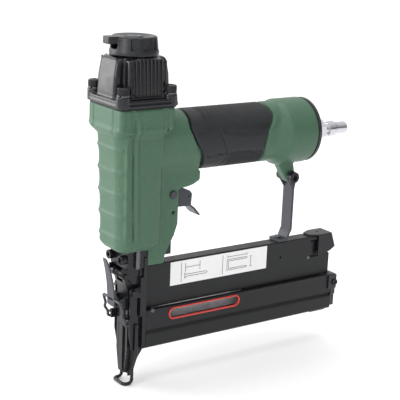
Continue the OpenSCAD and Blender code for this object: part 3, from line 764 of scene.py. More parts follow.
@dataclass
class Assembly:
    """What the sub-assemblies share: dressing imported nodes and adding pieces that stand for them."""

    made: list[str] = field(default_factory=list, init=False)

    def dress(self, finish: Finish, *nodes: str) -> None:
        """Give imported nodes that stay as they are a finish.

        Args:
            finish: The finish.
            *nodes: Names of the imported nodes.
        """
        for node in nodes:
            mesh = frame["nodes"][node].data
            mesh.materials.clear()
            mesh.materials.append(finish.material())
            self.made.append(node)

    def add(self, piece: bpy.types.Object, finish: Finish, *nodes: str, angle: float = 35.0,
            body: str | None = None) -> bpy.types.Object:
        """Finish a new piece.

        Args:
            piece: The piece, at the origin.
            finish: Its finish.
            *nodes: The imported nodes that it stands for.
            angle: Edges sharper than this many degrees stay sharp in the shading.
            body: The body it rides on, if it stands for no node.

        Returns:
            The piece.
        """
        shade(piece, angle)
        piece.data.materials.clear()
        piece.data.materials.append(finish.material())
        for polygon in piece.data.polygons:
            polygon.material_index = 0
        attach(piece, body or body_of(frame["nodes"][nodes[0]])[0])
        if nodes:
            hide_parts(*nodes)
        self.made.append(piece.name)
        return piece

    def refine(self, node: str, finish: Finish, width: float = 0.35, segments: int = 2,
               extra: Shape | None = None) -> bpy.types.Object:
        """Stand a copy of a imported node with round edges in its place.

        Args:
            node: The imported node.
            finish: The finish.
            width: Width of the rounded edges in millimetres.
            segments: Number of facets across them.
            extra: Detail that is added before the edges are rounded.

        Returns:
            The new piece.
        """
        piece = flatten(Shape().copy_of(node).object(node + "_finished"))
        round_edges(piece, width, segments)
        if extra:
            piece = Shape().take(piece, extra.object("extra")).object(node + "_joined")
        return self.add(even_shading(piece), finish, node)

    def refine_all(self, *rows: tuple) -> None:
        """Refine several nodes, each given as a row of refine's arguments."""
        for row in rows:
            self.refine(*row)

    def coil(self, name: str, node: str, finish: Finish, axis: Axis, radius: float, wire: float,
             turns: float, joint: str | None = None, travel: float = 0.0) -> bpy.types.Object:
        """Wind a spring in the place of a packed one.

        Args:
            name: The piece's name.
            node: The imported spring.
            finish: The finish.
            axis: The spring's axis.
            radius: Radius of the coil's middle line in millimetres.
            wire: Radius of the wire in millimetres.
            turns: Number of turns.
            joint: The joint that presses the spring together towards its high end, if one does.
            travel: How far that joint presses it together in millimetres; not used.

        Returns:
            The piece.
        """
        span = Span.of(node)
        k = "xyz".index(axis.value)
        length = span.high[k] - span.low[k] - 2 * wire
        start = span.middle.copy()
        start[k] = span.low[k] + wire
        turned = {Axis.X: (0.0, math.pi / 2, 0.0), Axis.Y: (-math.pi / 2, 0.0, 0.0), Axis.Z: (0.0, 0.0, 0.0)}
        mesh = Trees.coil.run(Shape(), Coil_radius=radius * MM, Wire_radius=wire * MM, Length=length * MM,
                              Turns=turns, Turned=turned[axis], Place=tuple(start * MM))
        piece = self.add(Shape().mesh_of(mesh).object(name), finish, node, angle=60)
        if joint:
            anchor = span.middle.copy()
            anchor[k] = span.high[k]
            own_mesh(piece)
        return piece


@dataclass
class Casting(Assembly):
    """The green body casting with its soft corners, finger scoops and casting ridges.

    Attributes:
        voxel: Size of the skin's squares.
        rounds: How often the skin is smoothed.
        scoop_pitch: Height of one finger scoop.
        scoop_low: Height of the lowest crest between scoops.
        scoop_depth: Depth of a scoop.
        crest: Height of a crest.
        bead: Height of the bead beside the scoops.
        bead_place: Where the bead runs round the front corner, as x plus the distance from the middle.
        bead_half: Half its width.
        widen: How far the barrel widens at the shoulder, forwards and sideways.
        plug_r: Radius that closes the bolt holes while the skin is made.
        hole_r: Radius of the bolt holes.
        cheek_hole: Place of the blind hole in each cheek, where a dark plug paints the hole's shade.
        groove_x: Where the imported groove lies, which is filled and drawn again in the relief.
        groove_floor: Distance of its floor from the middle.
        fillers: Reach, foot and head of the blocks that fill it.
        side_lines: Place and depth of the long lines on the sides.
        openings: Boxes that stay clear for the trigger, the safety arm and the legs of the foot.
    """

    voxel: float = 0.85
    rounds: int = 5
    scoop_pitch: float = 15.8
    scoop_low: float = 107.6
    scoop_depth: float = 0.6
    crest: float = 0.55
    bead: float = 0.8
    bead_place: float = 3.4
    bead_half: float = 1.2
    widen: Pair = (2.6, 1.3)
    plug_r: float = 3.3
    hole_r: float = 2.6
    cheek_hole: Pair = (28.6, 121.3)
    groove_x: Pair = (-12.8, -10.0)
    groove_floor: float = 17.2
    fillers: tuple[Triple, ...] = ((18.0, 107.5, 184.0), (22.6, 183.0, 190.4))
    side_lines: tuple[Pair, ...] = ((-10.2, -1.5), (-7.8, 0.5), (-5.2, -0.7), (13.6, 0.25))
    openings: tuple[tuple[Triple, Triple], ...] = (
        ((6, -5, 79), (34, 5, 108)), ((19.5, -8.5, 106), (52, 8.5, 143.5)),
        ((5, -12.7, 90), (8.4, -10.4, 98.2)), ((5, 10.4, 90), (8.4, 12.7, 98.2)))

    def relief(self, points: np.ndarray, normals: np.ndarray) -> np.ndarray:
        """Work out how far each point of the skin moves along its normal.

        Args:
            points: Places in millimetres.
            normals: Unit normals.

        Returns:
            Heights in millimetres.
        """
        x, y, z = points.T
        out = np.zeros(len(points))
        barrel = (np.hypot(x, y) > 17) & (x < 20) & (normals[:, 0] * x + normals[:, 1] * y > 2)
        wave = 0.5 - 0.5 * np.cos(2 * math.pi * (z - self.scoop_low) / self.scoop_pitch)
        around = x + np.abs(y)
        inside = np.clip((self.bead_place - 1.6 - around) / 1.2, 0, 1)
        high = np.clip((176 - z) / 5, 0, 1) * np.clip((z - 103) / 5, 0, 1)
        crest = np.exp(-14 * wave) * self.crest
        out += np.where(barrel, (crest - self.scoop_depth * np.sqrt(wave)) * inside * high, 0)
        ridge = np.exp(-((around - self.bead_place - 0.6 * wave) / self.bead_half) ** 2)
        out += np.where(barrel & (x < -6) & (z < 184), self.bead * ridge * high, 0)
        side = (np.abs(normals[:, 1]) > 0.5) & (np.abs(y) > 15)
        tall = np.clip((194 - z) / 3, 0, 1) * np.clip((z - 106) / 3, 0, 1)
        slant = np.interp(z, (105, 180), (2.8, 0))
        for place, depth in self.side_lines:
            line = np.exp(-((x - place - slant) / 0.8) ** 2)
            out += np.where(side & barrel, depth * line * tall, 0)
        return out + self._shoulder(points, normals)

    def taper(self, points: np.ndarray, normals: np.ndarray) -> np.ndarray:
        """Return how far each point moves so that the barrel widens towards the shoulder, in millimetres."""
        x, y, z = points.T
        out = np.zeros_like(points)
        outer = (normals[:, 0] * x + normals[:, 1] * y > 2) & (np.hypot(x, y) > 16.5) & (x < 26)
        share = np.interp(z, (106, 176, 180, 187), (0, 1, 1, 0)) * outer
        out[:, 0] = -self.widen[0] * share * np.clip((6 - x) / 26, 0, 1)
        out[:, 1] = self.widen[1] * share * np.sign(y) * np.clip((np.abs(y) - 6) / 12, 0, 1) * (x < 14)
        return out

    def blend(self, piece: bpy.types.Object) -> None:
        """Flow the neck of the handle into the cheeks beside the trigger."""
        group = piece.vertex_groups.new(name="blend")
        chosen = []
        for vertex in piece.data.vertices:
            x, y, z = vertex.co / MM
            if 9 < x < 49 and 136 < z < 170 and abs(y) > 9.5:
                chosen.append(vertex.index)
        group.add(chosen, 1.0, "REPLACE")
        step = piece.modifiers.new("flow", "SMOOTH")
        step.factor, step.iterations, step.vertex_group = 0.6, 60, group.name
        apply_modifiers(piece)
        piece.vertex_groups.clear()

    def _shoulder(self, points: np.ndarray, normals: np.ndarray) -> np.ndarray:
        """Return the flutes beside the four screw bosses of the shoulder, as heights."""
        x, y, z = points.T
        low = Span.of("cap_gasket").low.z - 19
        high = np.clip((z - low) / 2, 0, 1)
        front = (normals[:, 0] < -0.5) & (x < -15)
        side = (np.abs(normals[:, 1]) > 0.8) & (np.abs(y) > 20) & (x < 24)
        flutes = np.where(front, np.exp(-((np.abs(y) - 13.4) / 1.4) ** 2), 0)
        flutes += np.where(side, np.exp(-((x + 12.6) / 1.3) ** 2) + np.exp(-((x - 12.2) / 1.2) ** 2), 0)
        return -0.7 * flutes * high

    def build(self) -> None:
        """Build the casting."""
        shape = Shape().copy_of("body_housing")
        bolts, joint = Span.of("cap_bolts"), Span.of("cap_gasket").low.z
        head_r = Head.head_r
        spots = [(x, y) for x in (bolts.low.x + head_r, bolts.high.x - head_r)
                 for y in (-Head.bolt_y, Head.bolt_y)]
        for spot in spots:
            shape.turned([(bolts.low.z - 2, self.plug_r), (joint - 0.4, self.plug_r)], Axis.Z, spot, 24)
        for sign in (-1, 1):
            for reach, foot, head in self.fillers:
                inner, outer = sorted((sign * self.groove_floor, sign * reach))
                shape.box((self.groove_x[0], inner, foot), (self.groove_x[1], outer, head))
        piece = melt(shape.object("body_casting"), self.voxel, self.rounds)
        self.blend(piece)
        mesh = piece.data
        count = len(mesh.vertices)
        places = np.zeros(count * 3)
        mesh.vertices.foreach_get("co", places)
        normals = np.zeros(count * 3)
        mesh.vertices.foreach_get("normal", normals)
        places, normals = places.reshape(-1, 3), normals.reshape(-1, 3)
        places += self.taper(places / MM, normals) * MM
        height = self.relief(places / MM, normals)
        places += normals * height[:, None] * MM
        mesh.vertices.foreach_set("co", places.ravel())
        mesh.update()
        holes = Shape()
        for spot in spots:
            holes.turned([(bolts.low.z - 0.5, self.hole_r), (joint + 1, self.hole_r)], Axis.Z, spot, 32)
        cut(piece, holes)
        for low, high in self.openings:
            cut(piece, Shape().box(low, high))
        self.add(piece, GREEN, "body_housing", angle=50)
        # A dark oxide plug in each cheek hole paints the shade of the hole.
        plug = Shape().turned([(8.6, 1.9), (9.9, 1.9), (10.0, 1.7)], Axis.Y, self.cheek_hole, 32)
        self.add(plug.both_sides().object("cheek_hole_shade_plugs"), OXIDE, body="root")


@dataclass
class Grip(Assembly):
    """The moulded rubber sleeve, ribbed on top and low at the back."""

    along: int = 260
    round: int = 140
    pitch: float = 1.75
    depth: float = 0.8
    thickness: float = 2.5

    def build(self) -> None:
        """Build the sleeve as a skin between its slanted front edge and its notched rear edge."""
        span = Span.of("handle_grip")
        half = (span.high.y - span.low.y) / 2
        tall = (span.high.z - span.low.z) / 2
        centre = span.middle.z
        straight = tall - half
        outline = []
        for i in range(self.round):
            a = 2 * math.pi * i / self.round
            lift = straight * max(-1.0, min(1.0, math.sin(a) * 3))
            outline.append((math.cos(a), math.sin(a), lift))
        rows = []
        for k in range(self.along + 1):
            s = k / self.along
            rows.append(self._ring(outline, half, centre, s, 0.0))
        inner = [self._ring(outline, half, centre, s, self.thickness) for s in (1.0, 0.75, 0.5, 0.25, 0.0)]
        shape = Shape().loft(rows + inner, loop=True)
        self.add(shape.object("grip_sleeve"), RUBBER, "handle_grip", angle=60)

    @staticmethod
    def front_edge(z: float) -> float:
        """Return where the sleeve starts at a height, in millimetres."""
        return float(np.interp(z, (148, 152, 163.5, 173, 182, 196), (51.7, 51.2, 47.8, 42.2, 38.2, 39.2)))

    @staticmethod
    def rear_edge(z: float) -> float:
        """Return where the sleeve ends at a height, in millimetres."""
        heights = (148, 156, 163, 170, 176, 186, 194)
        return float(np.interp(z, heights, (105.2, 103.6, 103.0, 104.2, 106, 111.4, 109)))

    def ribs(self, x: float, z: float, side: float) -> float:
        """Return the height of the moulded pattern.

        Args:
            x: Distance along the handle in millimetres.
            z: Height in millimetres.
            side: How far the spot looks sideways, from 0 to 1.

        Returns:
            The height in millimetres.
        """
        wave = 0.5 - 0.5 * math.cos(2 * math.pi * x / self.pitch)
        top_edge = 176.5 + 1.6 * math.sin((x - 50) / 9) + (3.4 if x < 66 else 0)
        low_edge = 161.5 + 1.2 * math.sin((x - 60) / 11)
        top = min(1.0, max(0.0, (z - top_edge) / 1.2)) * min(1.0, max(0.0, (x - 47) / 2))
        low = min(1.0, max(0.0, (low_edge - z) / 1.2)) * min(1.0, max(0.0, (x - 70) / 2))
        cut = -self.depth * wave * max(top, low)
        seam = 0.0
        for edge, start in ((top_edge, 44.0), (low_edge, 52.0)):
            seam += -0.9 * math.exp(-((z - edge + 0.4) / 0.7) ** 2) * side if x > start else 0.0
        bow = 66 + 3.2 * math.sin((z - 150) / 6.5)
        seam += -0.8 * math.exp(-((x - bow) / 0.7) ** 2) * (1.0 if z < 178 else 0.0)
        return cut + seam

    def _ring(self, outline: Sequence[Triple], half: float, centre: float, s: float,
              inset: float) -> list[Vector]:
        """Return one ring of the sleeve.

        Args:
            outline: Direction and lift of each point round the handle.
            half: Half the sleeve's width.
            centre: Height of its axis.
            s: Place along it, from 0 at the front edge to 1 at the rear edge.
            inset: How far inside the outer skin the ring lies.

        Returns:
            The ring's points in metres.
        """
        points = []
        rolled = 1.7 * (1 - min(1.0, min(s, 1 - s) * 65 / 1.6)) ** 2
        for c, n, lift in outline:
            height = centre + lift + half * n
            start, end = self.front_edge(height), self.rear_edge(height)
            x = start + (end - start) * s
            r = half - inset
            if not inset:
                fade = min(1.0, min(s, 1 - s) * 65 / 2.5)
                r += self.ribs(x, height, abs(c)) * fade - rolled
            points.append(Vector((x, r * c, centre + lift + r * n)) * MM)
        return points


@dataclass
class Head(Assembly):
    """The black cap on the cylinder with its bolts, the turning deflector and the head valve."""

    bolt_x: Pair = (-19.2, 17.5)
    bolt_y: float = 19.4
    head_r: float = 4.25
    head_h: float = 5.0
    rib_pitch: float = 2.9
    rib_count: int = 9
    flutes: int = 12

    def cap(self) -> None:
        """Build the ribbed cap."""
        span = Span.of("cylinder_cap")
        low, top = span.low.z, span.high.z
        half = (span.high.y - span.low.y) / 2
        boss_top = Span.of("cap_washers").low.z
        shape = Shape()
        layers = ((0.2, low, low + 2.0), (0.9, low + 1.9, low + 2.9), (0.5, low + 2.8, low + 5.2))
        for inset, z0, z1 in layers:
            side = half - inset
            shape.plate(rectangle((-side, -side), (side, side), 7.3), z0, z1, Axis.Z)
        shape.turned([(low + 2, 17.4), (top - 0.4, 17.0)], Axis.Z)
        tower = [(low + 4, 14.8, 18.9), (top - 3, 14.2, 17.6), (top - 1.4, 13.4, 16.4)]
        shape.loft([[Axis.Z.point(x, y, z) for x, y in rectangle((-u, -v), (u, v), 1.2)]
                    for z, u, v in tower])
        for sign in (-1, 1):
            bulge = [(low + 2, 22.4, 12.7), (low + 8, 22.2, 12.6), (top - 13, 21.5, 12.4),
                     (top - 4, 20.0, 12.0), (top - 1.6, 19.2, 11.2), (top - 0.6, 17.6, 9.8)]
            rings = []
            for z, reach, wide in bulge:
                x0, x1 = sorted((0.0, sign * reach))
                rings.append([Axis.Z.point(x, y, z) for x, y in rectangle((x0, -wide), (x1, wide), 3.2)])
            shape.loft(rings)
        for x in self.bolt_x:
            for y in (-self.bolt_y, self.bolt_y):
                shape.turned([(low, 4.9), (boss_top, 4.9)], Axis.Z, (x, y), 32)
        self._wings(shape, low, top)
        piece = melt(shape.object("cylinder_cap_cast"), 0.55, 5)
        holes = Shape().turned([(low - 1, 15.2), (229.0, 15.2)], Axis.Z)
        holes.turned([(228, 3.0), (top + 1, 3.0)], Axis.Z, steps=32)
        for x in self.bolt_x:
            for y in (-self.bolt_y, self.bolt_y):
                holes.turned([(low - 1, 2.6), (boss_top + 0.5, 2.6), (boss_top, 5.2), (top + 1, 5.2)], Axis.Z,
                             (x, y), 32)
        cut(piece, holes)
        guide = Shape().turned([(222.0, 5.2), (229.4, 5.2), (229.4, 3.0), (222.0, 3.0)], Axis.Z, hollow=True)
        joined = Shape().take(piece, self._ribs(low, top), guide.object("guide"))
        self.add(joined.object("cylinder_cap_finished"), CAST_BLACK, "cylinder_cap", angle=45)

    @staticmethod
    def _wings(shape: Shape, low: float, top: float) -> None:
        """Add the wings in front of the ribs and the slanted webs behind them, on both sides.

        Args:
            shape: The cap under construction.
            low: Height of the cap's underside.
            top: Height of its top.
        """
        for sign in (-1, 1):
            def side(points: Sequence[Pair]) -> list[Pair]:
                """Return an outline on this side of the tool."""
                return [(x, sign * y) for x, y in points]
            wedge_low = side([(-14.8, 14.8), (-13.8, 20.6), (-12.0, 21.0), (-11.2, 14.0)])
            wedge_top = side([(-14.4, 13.0), (-13.6, 18.0), (-12.0, 18.6), (-11.4, 12.0)])
            rings = [[Axis.Z.point(x, y, z) for x, y in ring]
                     for z, ring in ((low + 7, wedge_low), (top - 1.6, wedge_top))]
            shape.loft(rings)
            web = [(13.6, low + 4), (22.2, low + 4), (22.0, low + 13), (16.8, top - 1.4), (13.6, top - 1.4)]
            inner, outer = sorted((sign * 17.2, sign * 20.2))
            shape.plate(web, inner, outer)

    def _ribs(self, low: float, top: float) -> bpy.types.Object:
        """Return the ribs on both sides with the frame that runs under them.

        Args:
            low: Height of the cap's underside.
            top: Height of its top.

        Returns:
            The ribs as one object.
        """
        half = 0.62
        foot, crown = low + 7.4, top - 1.2
        first = -self.rib_pitch * (self.rib_count - 1) / 2
        rib = Shape().loft([
            [Axis.Z.point(x, y, z)
             for x, y in rounded([(first - half, -17.0), (first - half, -reach), (first + half, -reach),
                                  (first + half, -17.0)], 0.45, 3)]
            for z, reach in ((foot, 19.3), (crown - 2, 18.6), (crown, 17.6))])
        row = Trees.row.run(rib, Count=self.rib_count, Step=(self.rib_pitch * MM, 0.0, 0.0))
        edge = first - self.rib_pitch * 0.9
        frame_path = path_shape([(edge, -18.2, crown - 1), (edge, -18.9, foot + 6), (edge + 5.4, -19.1, foot),
                                 (-edge - 5.4, -19.1, foot), (-edge, -18.9, foot + 6),
                                 (-edge, -18.2, crown - 1)])
        border = Trees.wire.run(frame_path, Wire_radius=0.65 * MM, Bend_radius=2.2 * MM, Sides=12)
        return Shape().mesh_of(row).mesh_of(border).both_sides().object("ribs")

    def four(self, unit: Shape, material: bpy.types.Material) -> Shape:
        """Repeat a part at the four cap bolts.

        Args:
            unit: The part at the first bolt.
            material: Its material.

        Returns:
            The four parts.
        """
        pair = Trees.row.run(unit, Count=2, Step=(0.0, 2 * self.bolt_y * MM, 0.0), Material=material)
        step = (self.bolt_x[1] - self.bolt_x[0]) * MM
        return Shape().mesh_of(Trees.row.run(Shape().mesh_of(pair), Count=2, Step=(step, 0.0, 0.0),
                                             Material=material))

    def bolts(self) -> None:
        """Build the four socket bolts with knurled heads and their split washers."""
        span = Span.of("cap_bolts")
        washer = Span.of("cap_washers")
        under, top = washer.high.z, washer.high.z + self.head_h
        spot = (self.bolt_x[0], -self.bolt_y)
        r = self.head_r
        profile = [(span.low.z, 1.9), (span.low.z + 0.7, 2.5), (under - 0.1, 2.5), (under, r - 0.3),
                   (under + 0.3, r), (top - 0.6, r), (top - 0.15, r - 0.35), (top, r - 0.8)]
        bolt = Shape().turned(profile, Axis.Z, spot, 48).object("bolt")
        hexagon = arc(spot, 2.3, 0, 300, 5)
        cut(bolt, Shape().plate(hexagon, top - 3, top + 1, Axis.Z))
        tooth = [(r - 0.2, -0.1), (r + 0.12, 0), (r - 0.2, 0.1)]
        knurl = Shape().plate(tooth, under + 0.5, top - 0.8, Axis.Z)
        ring = Shape().mesh_of(Trees.ring.run(knurl, Count=40, Angle=2 * math.pi / 40)).object("ring")
        ring.data.transform(Matrix.Translation(Vector((*spot, 0)) * MM))
        unit = Shape().take(bolt, ring)
        piece = self.four(unit, OXIDE.material()).object("cap_bolts_finished")
        self.add(piece, OXIDE, "cap_bolts")
        split = Shape()
        low, high = washer.low.z, washer.high.z
        rings = []
        for i in range(41):
            a = math.radians(220 + 344 * i / 40)
            rise = 0.25 * (i / 40 - 0.5)
            corners = ((2.65, low), (4.4, low), (4.4, high), (2.65, high))
            rings.append([Axis.Z.point(spot[0] + q * math.cos(a), spot[1] + q * math.sin(a), z + rise)
                          for q, z in corners])
        split.loft(rings)
        self.add(self.four(split, ZINC.material()).object("cap_washers_finished"), ZINC, "cap_washers")

    def deflector(self) -> None:
        """Build the fluted exhaust deflector with its visor."""
        span = Span.of("exhaust_deflector")
        low, top, r = span.low.z, span.high.z, span.high.x
        profile = [(low, r - 3.4), (low, r - 0.3), (low + 0.3, r), (low + 2.8, r - 0.1), (low + 3.2, r - 0.4),
                   (top - 1.4, r - 1.3), (top - 0.5, r - 1.7), (top, r - 2.6), (top - 0.2, r - 4.4),
                   (top - 1.5, 6.6), (top - 2.4, 6.2), (top - 2.4, 3.06), (low + 7, 3.06), (low + 7, r - 3.4)]
        body = Shape().turned(profile, Axis.Z, steps=96, hollow=True).object("deflector")
        flute = Shape().plate([(r - 2.4, -1.9), (r + 1, -2.7), (r + 1, 2.7), (r - 2.4, 1.9)], low + 3.6,
                              top - 1.2, Axis.Z)
        step = 2 * math.pi / self.flutes
        ring = Trees.ring.run(flute, Count=self.flutes - 3, Angle=step, First=math.pi + 2 * step)
        cut(body, Shape().mesh_of(ring))
        port = Shape().plate(rectangle((-4.6, low + 4.1), (4.6, top - 2.0), 2.4), -r - 8, -8, Axis.X)
        cut(body, port)
        shape = Shape().take(body)
        reach = span.low.x
        for z0, z1, back in ((top - 5.0, top - 0.1, 0.0), (top - 3.0, top - 0.1, 4.0)):
            visor = rounded([(reach, -4.5), (-13 + back, -4.5), (-13 + back, 4.5), (reach, 4.5)], 1.6)
            shape.plate(visor, z0, z1, Axis.Z)
        piece = melt(shape.object("exhaust_deflector_finished"), 0.33, 2)
        self.add(piece, PLASTIC, "exhaust_deflector", angle=50)

    def build(self) -> None:
        """Build the head."""
        self.cap()
        self.bolts()
        self.deflector()
        self.refine_all(
            ("deflector_screw", ZINC, 0.2),
            ("cap_gasket", SEAL, 0.15),
            ("head_valve", ALUMINIUM, 0.25))
        self.dress(SEAL, "head_valve_seal")
        self.coil("head_valve_coil", "head_valve_spring", SPRING, Axis.Z, 8.0, 0.7, 4.5,
                  "head_valve_slide", 4.0)


@dataclass
class Cylinder(Assembly):
    """The sleeve, piston, driver blade and bumper inside the casting."""

    def build(self) -> None:
        """Dress the inner parts."""
        self.refine("cylinder_sleeve", ALUMINIUM, 0.3)
        self.dress(SEAL, "cylinder_orings", "piston_ring")
        self.refine_all(
            ("piston", ALUMINIUM, 0.3),
            ("driver_blade", BRIGHT, 0.12),
            ("bumper", SEAL, 0.5, 3))


@dataclass
class AirInlet(Assembly):
    """The end cap of the handle and the air plug."""

    rim_r: float = 24.4

    def build(self) -> None:
        """Build the end cap and the plug."""
        end, body = Span.of("end_cap"), Span.of("body_housing")
        rim = Shape().turned([(body.high.x - 1.2, self.rim_r - 0.2), (body.high.x - 1.0, self.rim_r),
                              (body.high.x + 1.0, self.rim_r), (body.high.x + 1.38, self.rim_r - 0.5),
                              (body.high.x + 1.38, 15.0), (body.high.x - 1.2, 15.0)], Axis.X,
                             (0.0, end.middle.z), 96, hollow=True)
        self.refine("end_cap", PLASTIC, 0.6, 3, rim)
        self.refine("air_plug", NICKEL, 0.35, 3)


@dataclass
class TriggerGroup(Assembly):
    """The trigger with its lever, pins and valve."""

    def build(self) -> None:
        """Build the trigger group."""
        self.refine_all(
            ("trigger", SATIN, 0.45, 3),
            ("trigger_pin_rod", SATIN, 0.3, 3),
            ("trigger_lever", SATIN, 0.25),
            ("trigger_lever_pin", OXIDE, 0.15),
            ("trigger_valve", PLASTIC, 0.3),
            ("valve_stem", BRASS, 0.25))
        self.coil("valve_coil", "valve_spring", SPRING, Axis.Z, 2.6, 0.4, 6.0, "valve_stem_slide", 2.4)


@dataclass
class Nose(Assembly):
    """The guide, the hinged door and its latch."""

    wire_r: float = 1.0

    def lever(self) -> None:
        """Build the pressed thumb lever, wide at its pivot and round at its tip."""
        stations = [(-14.0, 55.2, 4.2), (-13.9, 57.5, 5.0), (-14.6, 64.0, 5.0), (-15.4, 72.0, 4.7),
                    (-16.8, 80.0, 4.1), (-18.3, 86.0, 3.4), (-19.6, 90.2, 2.7), (-20.2, 91.6, 1.6)]
        rings = []
        for x, z, half in stations:
            section = rectangle((x - 0.55, -half), (x + 0.65, half), 0.5)
            rings.append([Vector((u + 0.02 * v * v, v, z)) * MM for u, v in section])
        shape = Shape().loft(rings)
        flange = rounded([(-13.7, 54.9), (-9.2, 55.2), (-8.5, 57.5), (-9.4, 60.0), (-12.0, 63.0),
                          (-13.9, 68.5), (-14.8, 68.0), (-14.4, 56)], 1.2)
        for sign in (-1, 1):
            shape.plate(flange, *sorted((3.85 * sign, 4.95 * sign)))
        piece = melt(shape.object("latch_lever_finished"), 0.3, 2)
        pins = Shape().turned([(-9, 1.25), (9, 1.25)], Axis.Y, (-10.5, 57.5), 32)
        pins.turned([(-9, 1.08), (9, 1.08)], Axis.Y, (-13.6, 60.5), 32)
        cut(piece, pins)
        self.add(piece, SATIN, "latch_lever", angle=50)

    def bail(self) -> None:
        """Build the two bent wires that hook under the pegs."""
        y = Span.of("latch_bail").high.y - self.wire_r
        path = [(-13.6, 3.4, 60.5), (-13.6, y, 60.5), (-11.4, y, 53.6), (-12.2, y, 50.6), (-9.5, y, 46.6),
                (-9.4, y, 42.7), (-6.2, y, 42.7)]
        mesh = Trees.wire.run(path_shape(path), Wire_radius=self.wire_r * MM, Bend_radius=1.9 * MM, Sides=18)
        piece = Shape().mesh_of(mesh).both_sides().object("latch_bail_finished")
        self.add(piece, SATIN, "latch_bail", angle=60)

    def build(self) -> None:
        """Build the nose."""
        self.refine_all(
            ("nose_guide", OXIDE, 0.3),
            ("nose_screws", OXIDE, 0.25),
            ("guide_posts", ZINC, 0.5, 3),
            ("nose_door", OXIDE, 0.35),
            ("door_hinge_pin", OXIDE, 0.4, 3))
        self.coil("door_coil", "door_spring", OXIDE, Axis.Y, 2.3, 0.45, 7.0)
        self.refine("latch_lever_pin", BRIGHT, 0.2)
        self.lever()
        self.bail()


@dataclass
class SafetyFoot(Assembly):
    """The contact wire, its bracket and the arm that reaches the trigger."""

    def wire(self) -> None:
        """Build the contact wire as one smoothly bent rod."""
        side = [(0.3, 12.1, 42.0), (0.3, 12.1, 18.0), (0.3, 7.2, 6.5), (0.3, 7.2, -4.4), (-6.4, 7.2, -4.4)]
        path = side + [(x, -y, z) for x, y, z in reversed(side)]
        mesh = Trees.wire.run(path_shape(path), Wire_radius=1.2 * MM, Bend_radius=2.8 * MM, Sides=20)
        self.add(Shape().mesh_of(mesh).object("contact_wire_finished"), OXIDE, "contact_wire", angle=60)

    def build(self) -> None:
        """Build the foot."""
        self.wire()
        self.refine_all(
            ("contact_bracket", OXIDE, 0.3),
            ("safety_arm", OXIDE, 0.3),
            ("bracket_screws", OXIDE, 0.35, 3))
        self.coil("safety_coil", "safety_spring", SPRING, Axis.Z, 2.8, 0.45, 3.6, "contact_slide", 6.1)


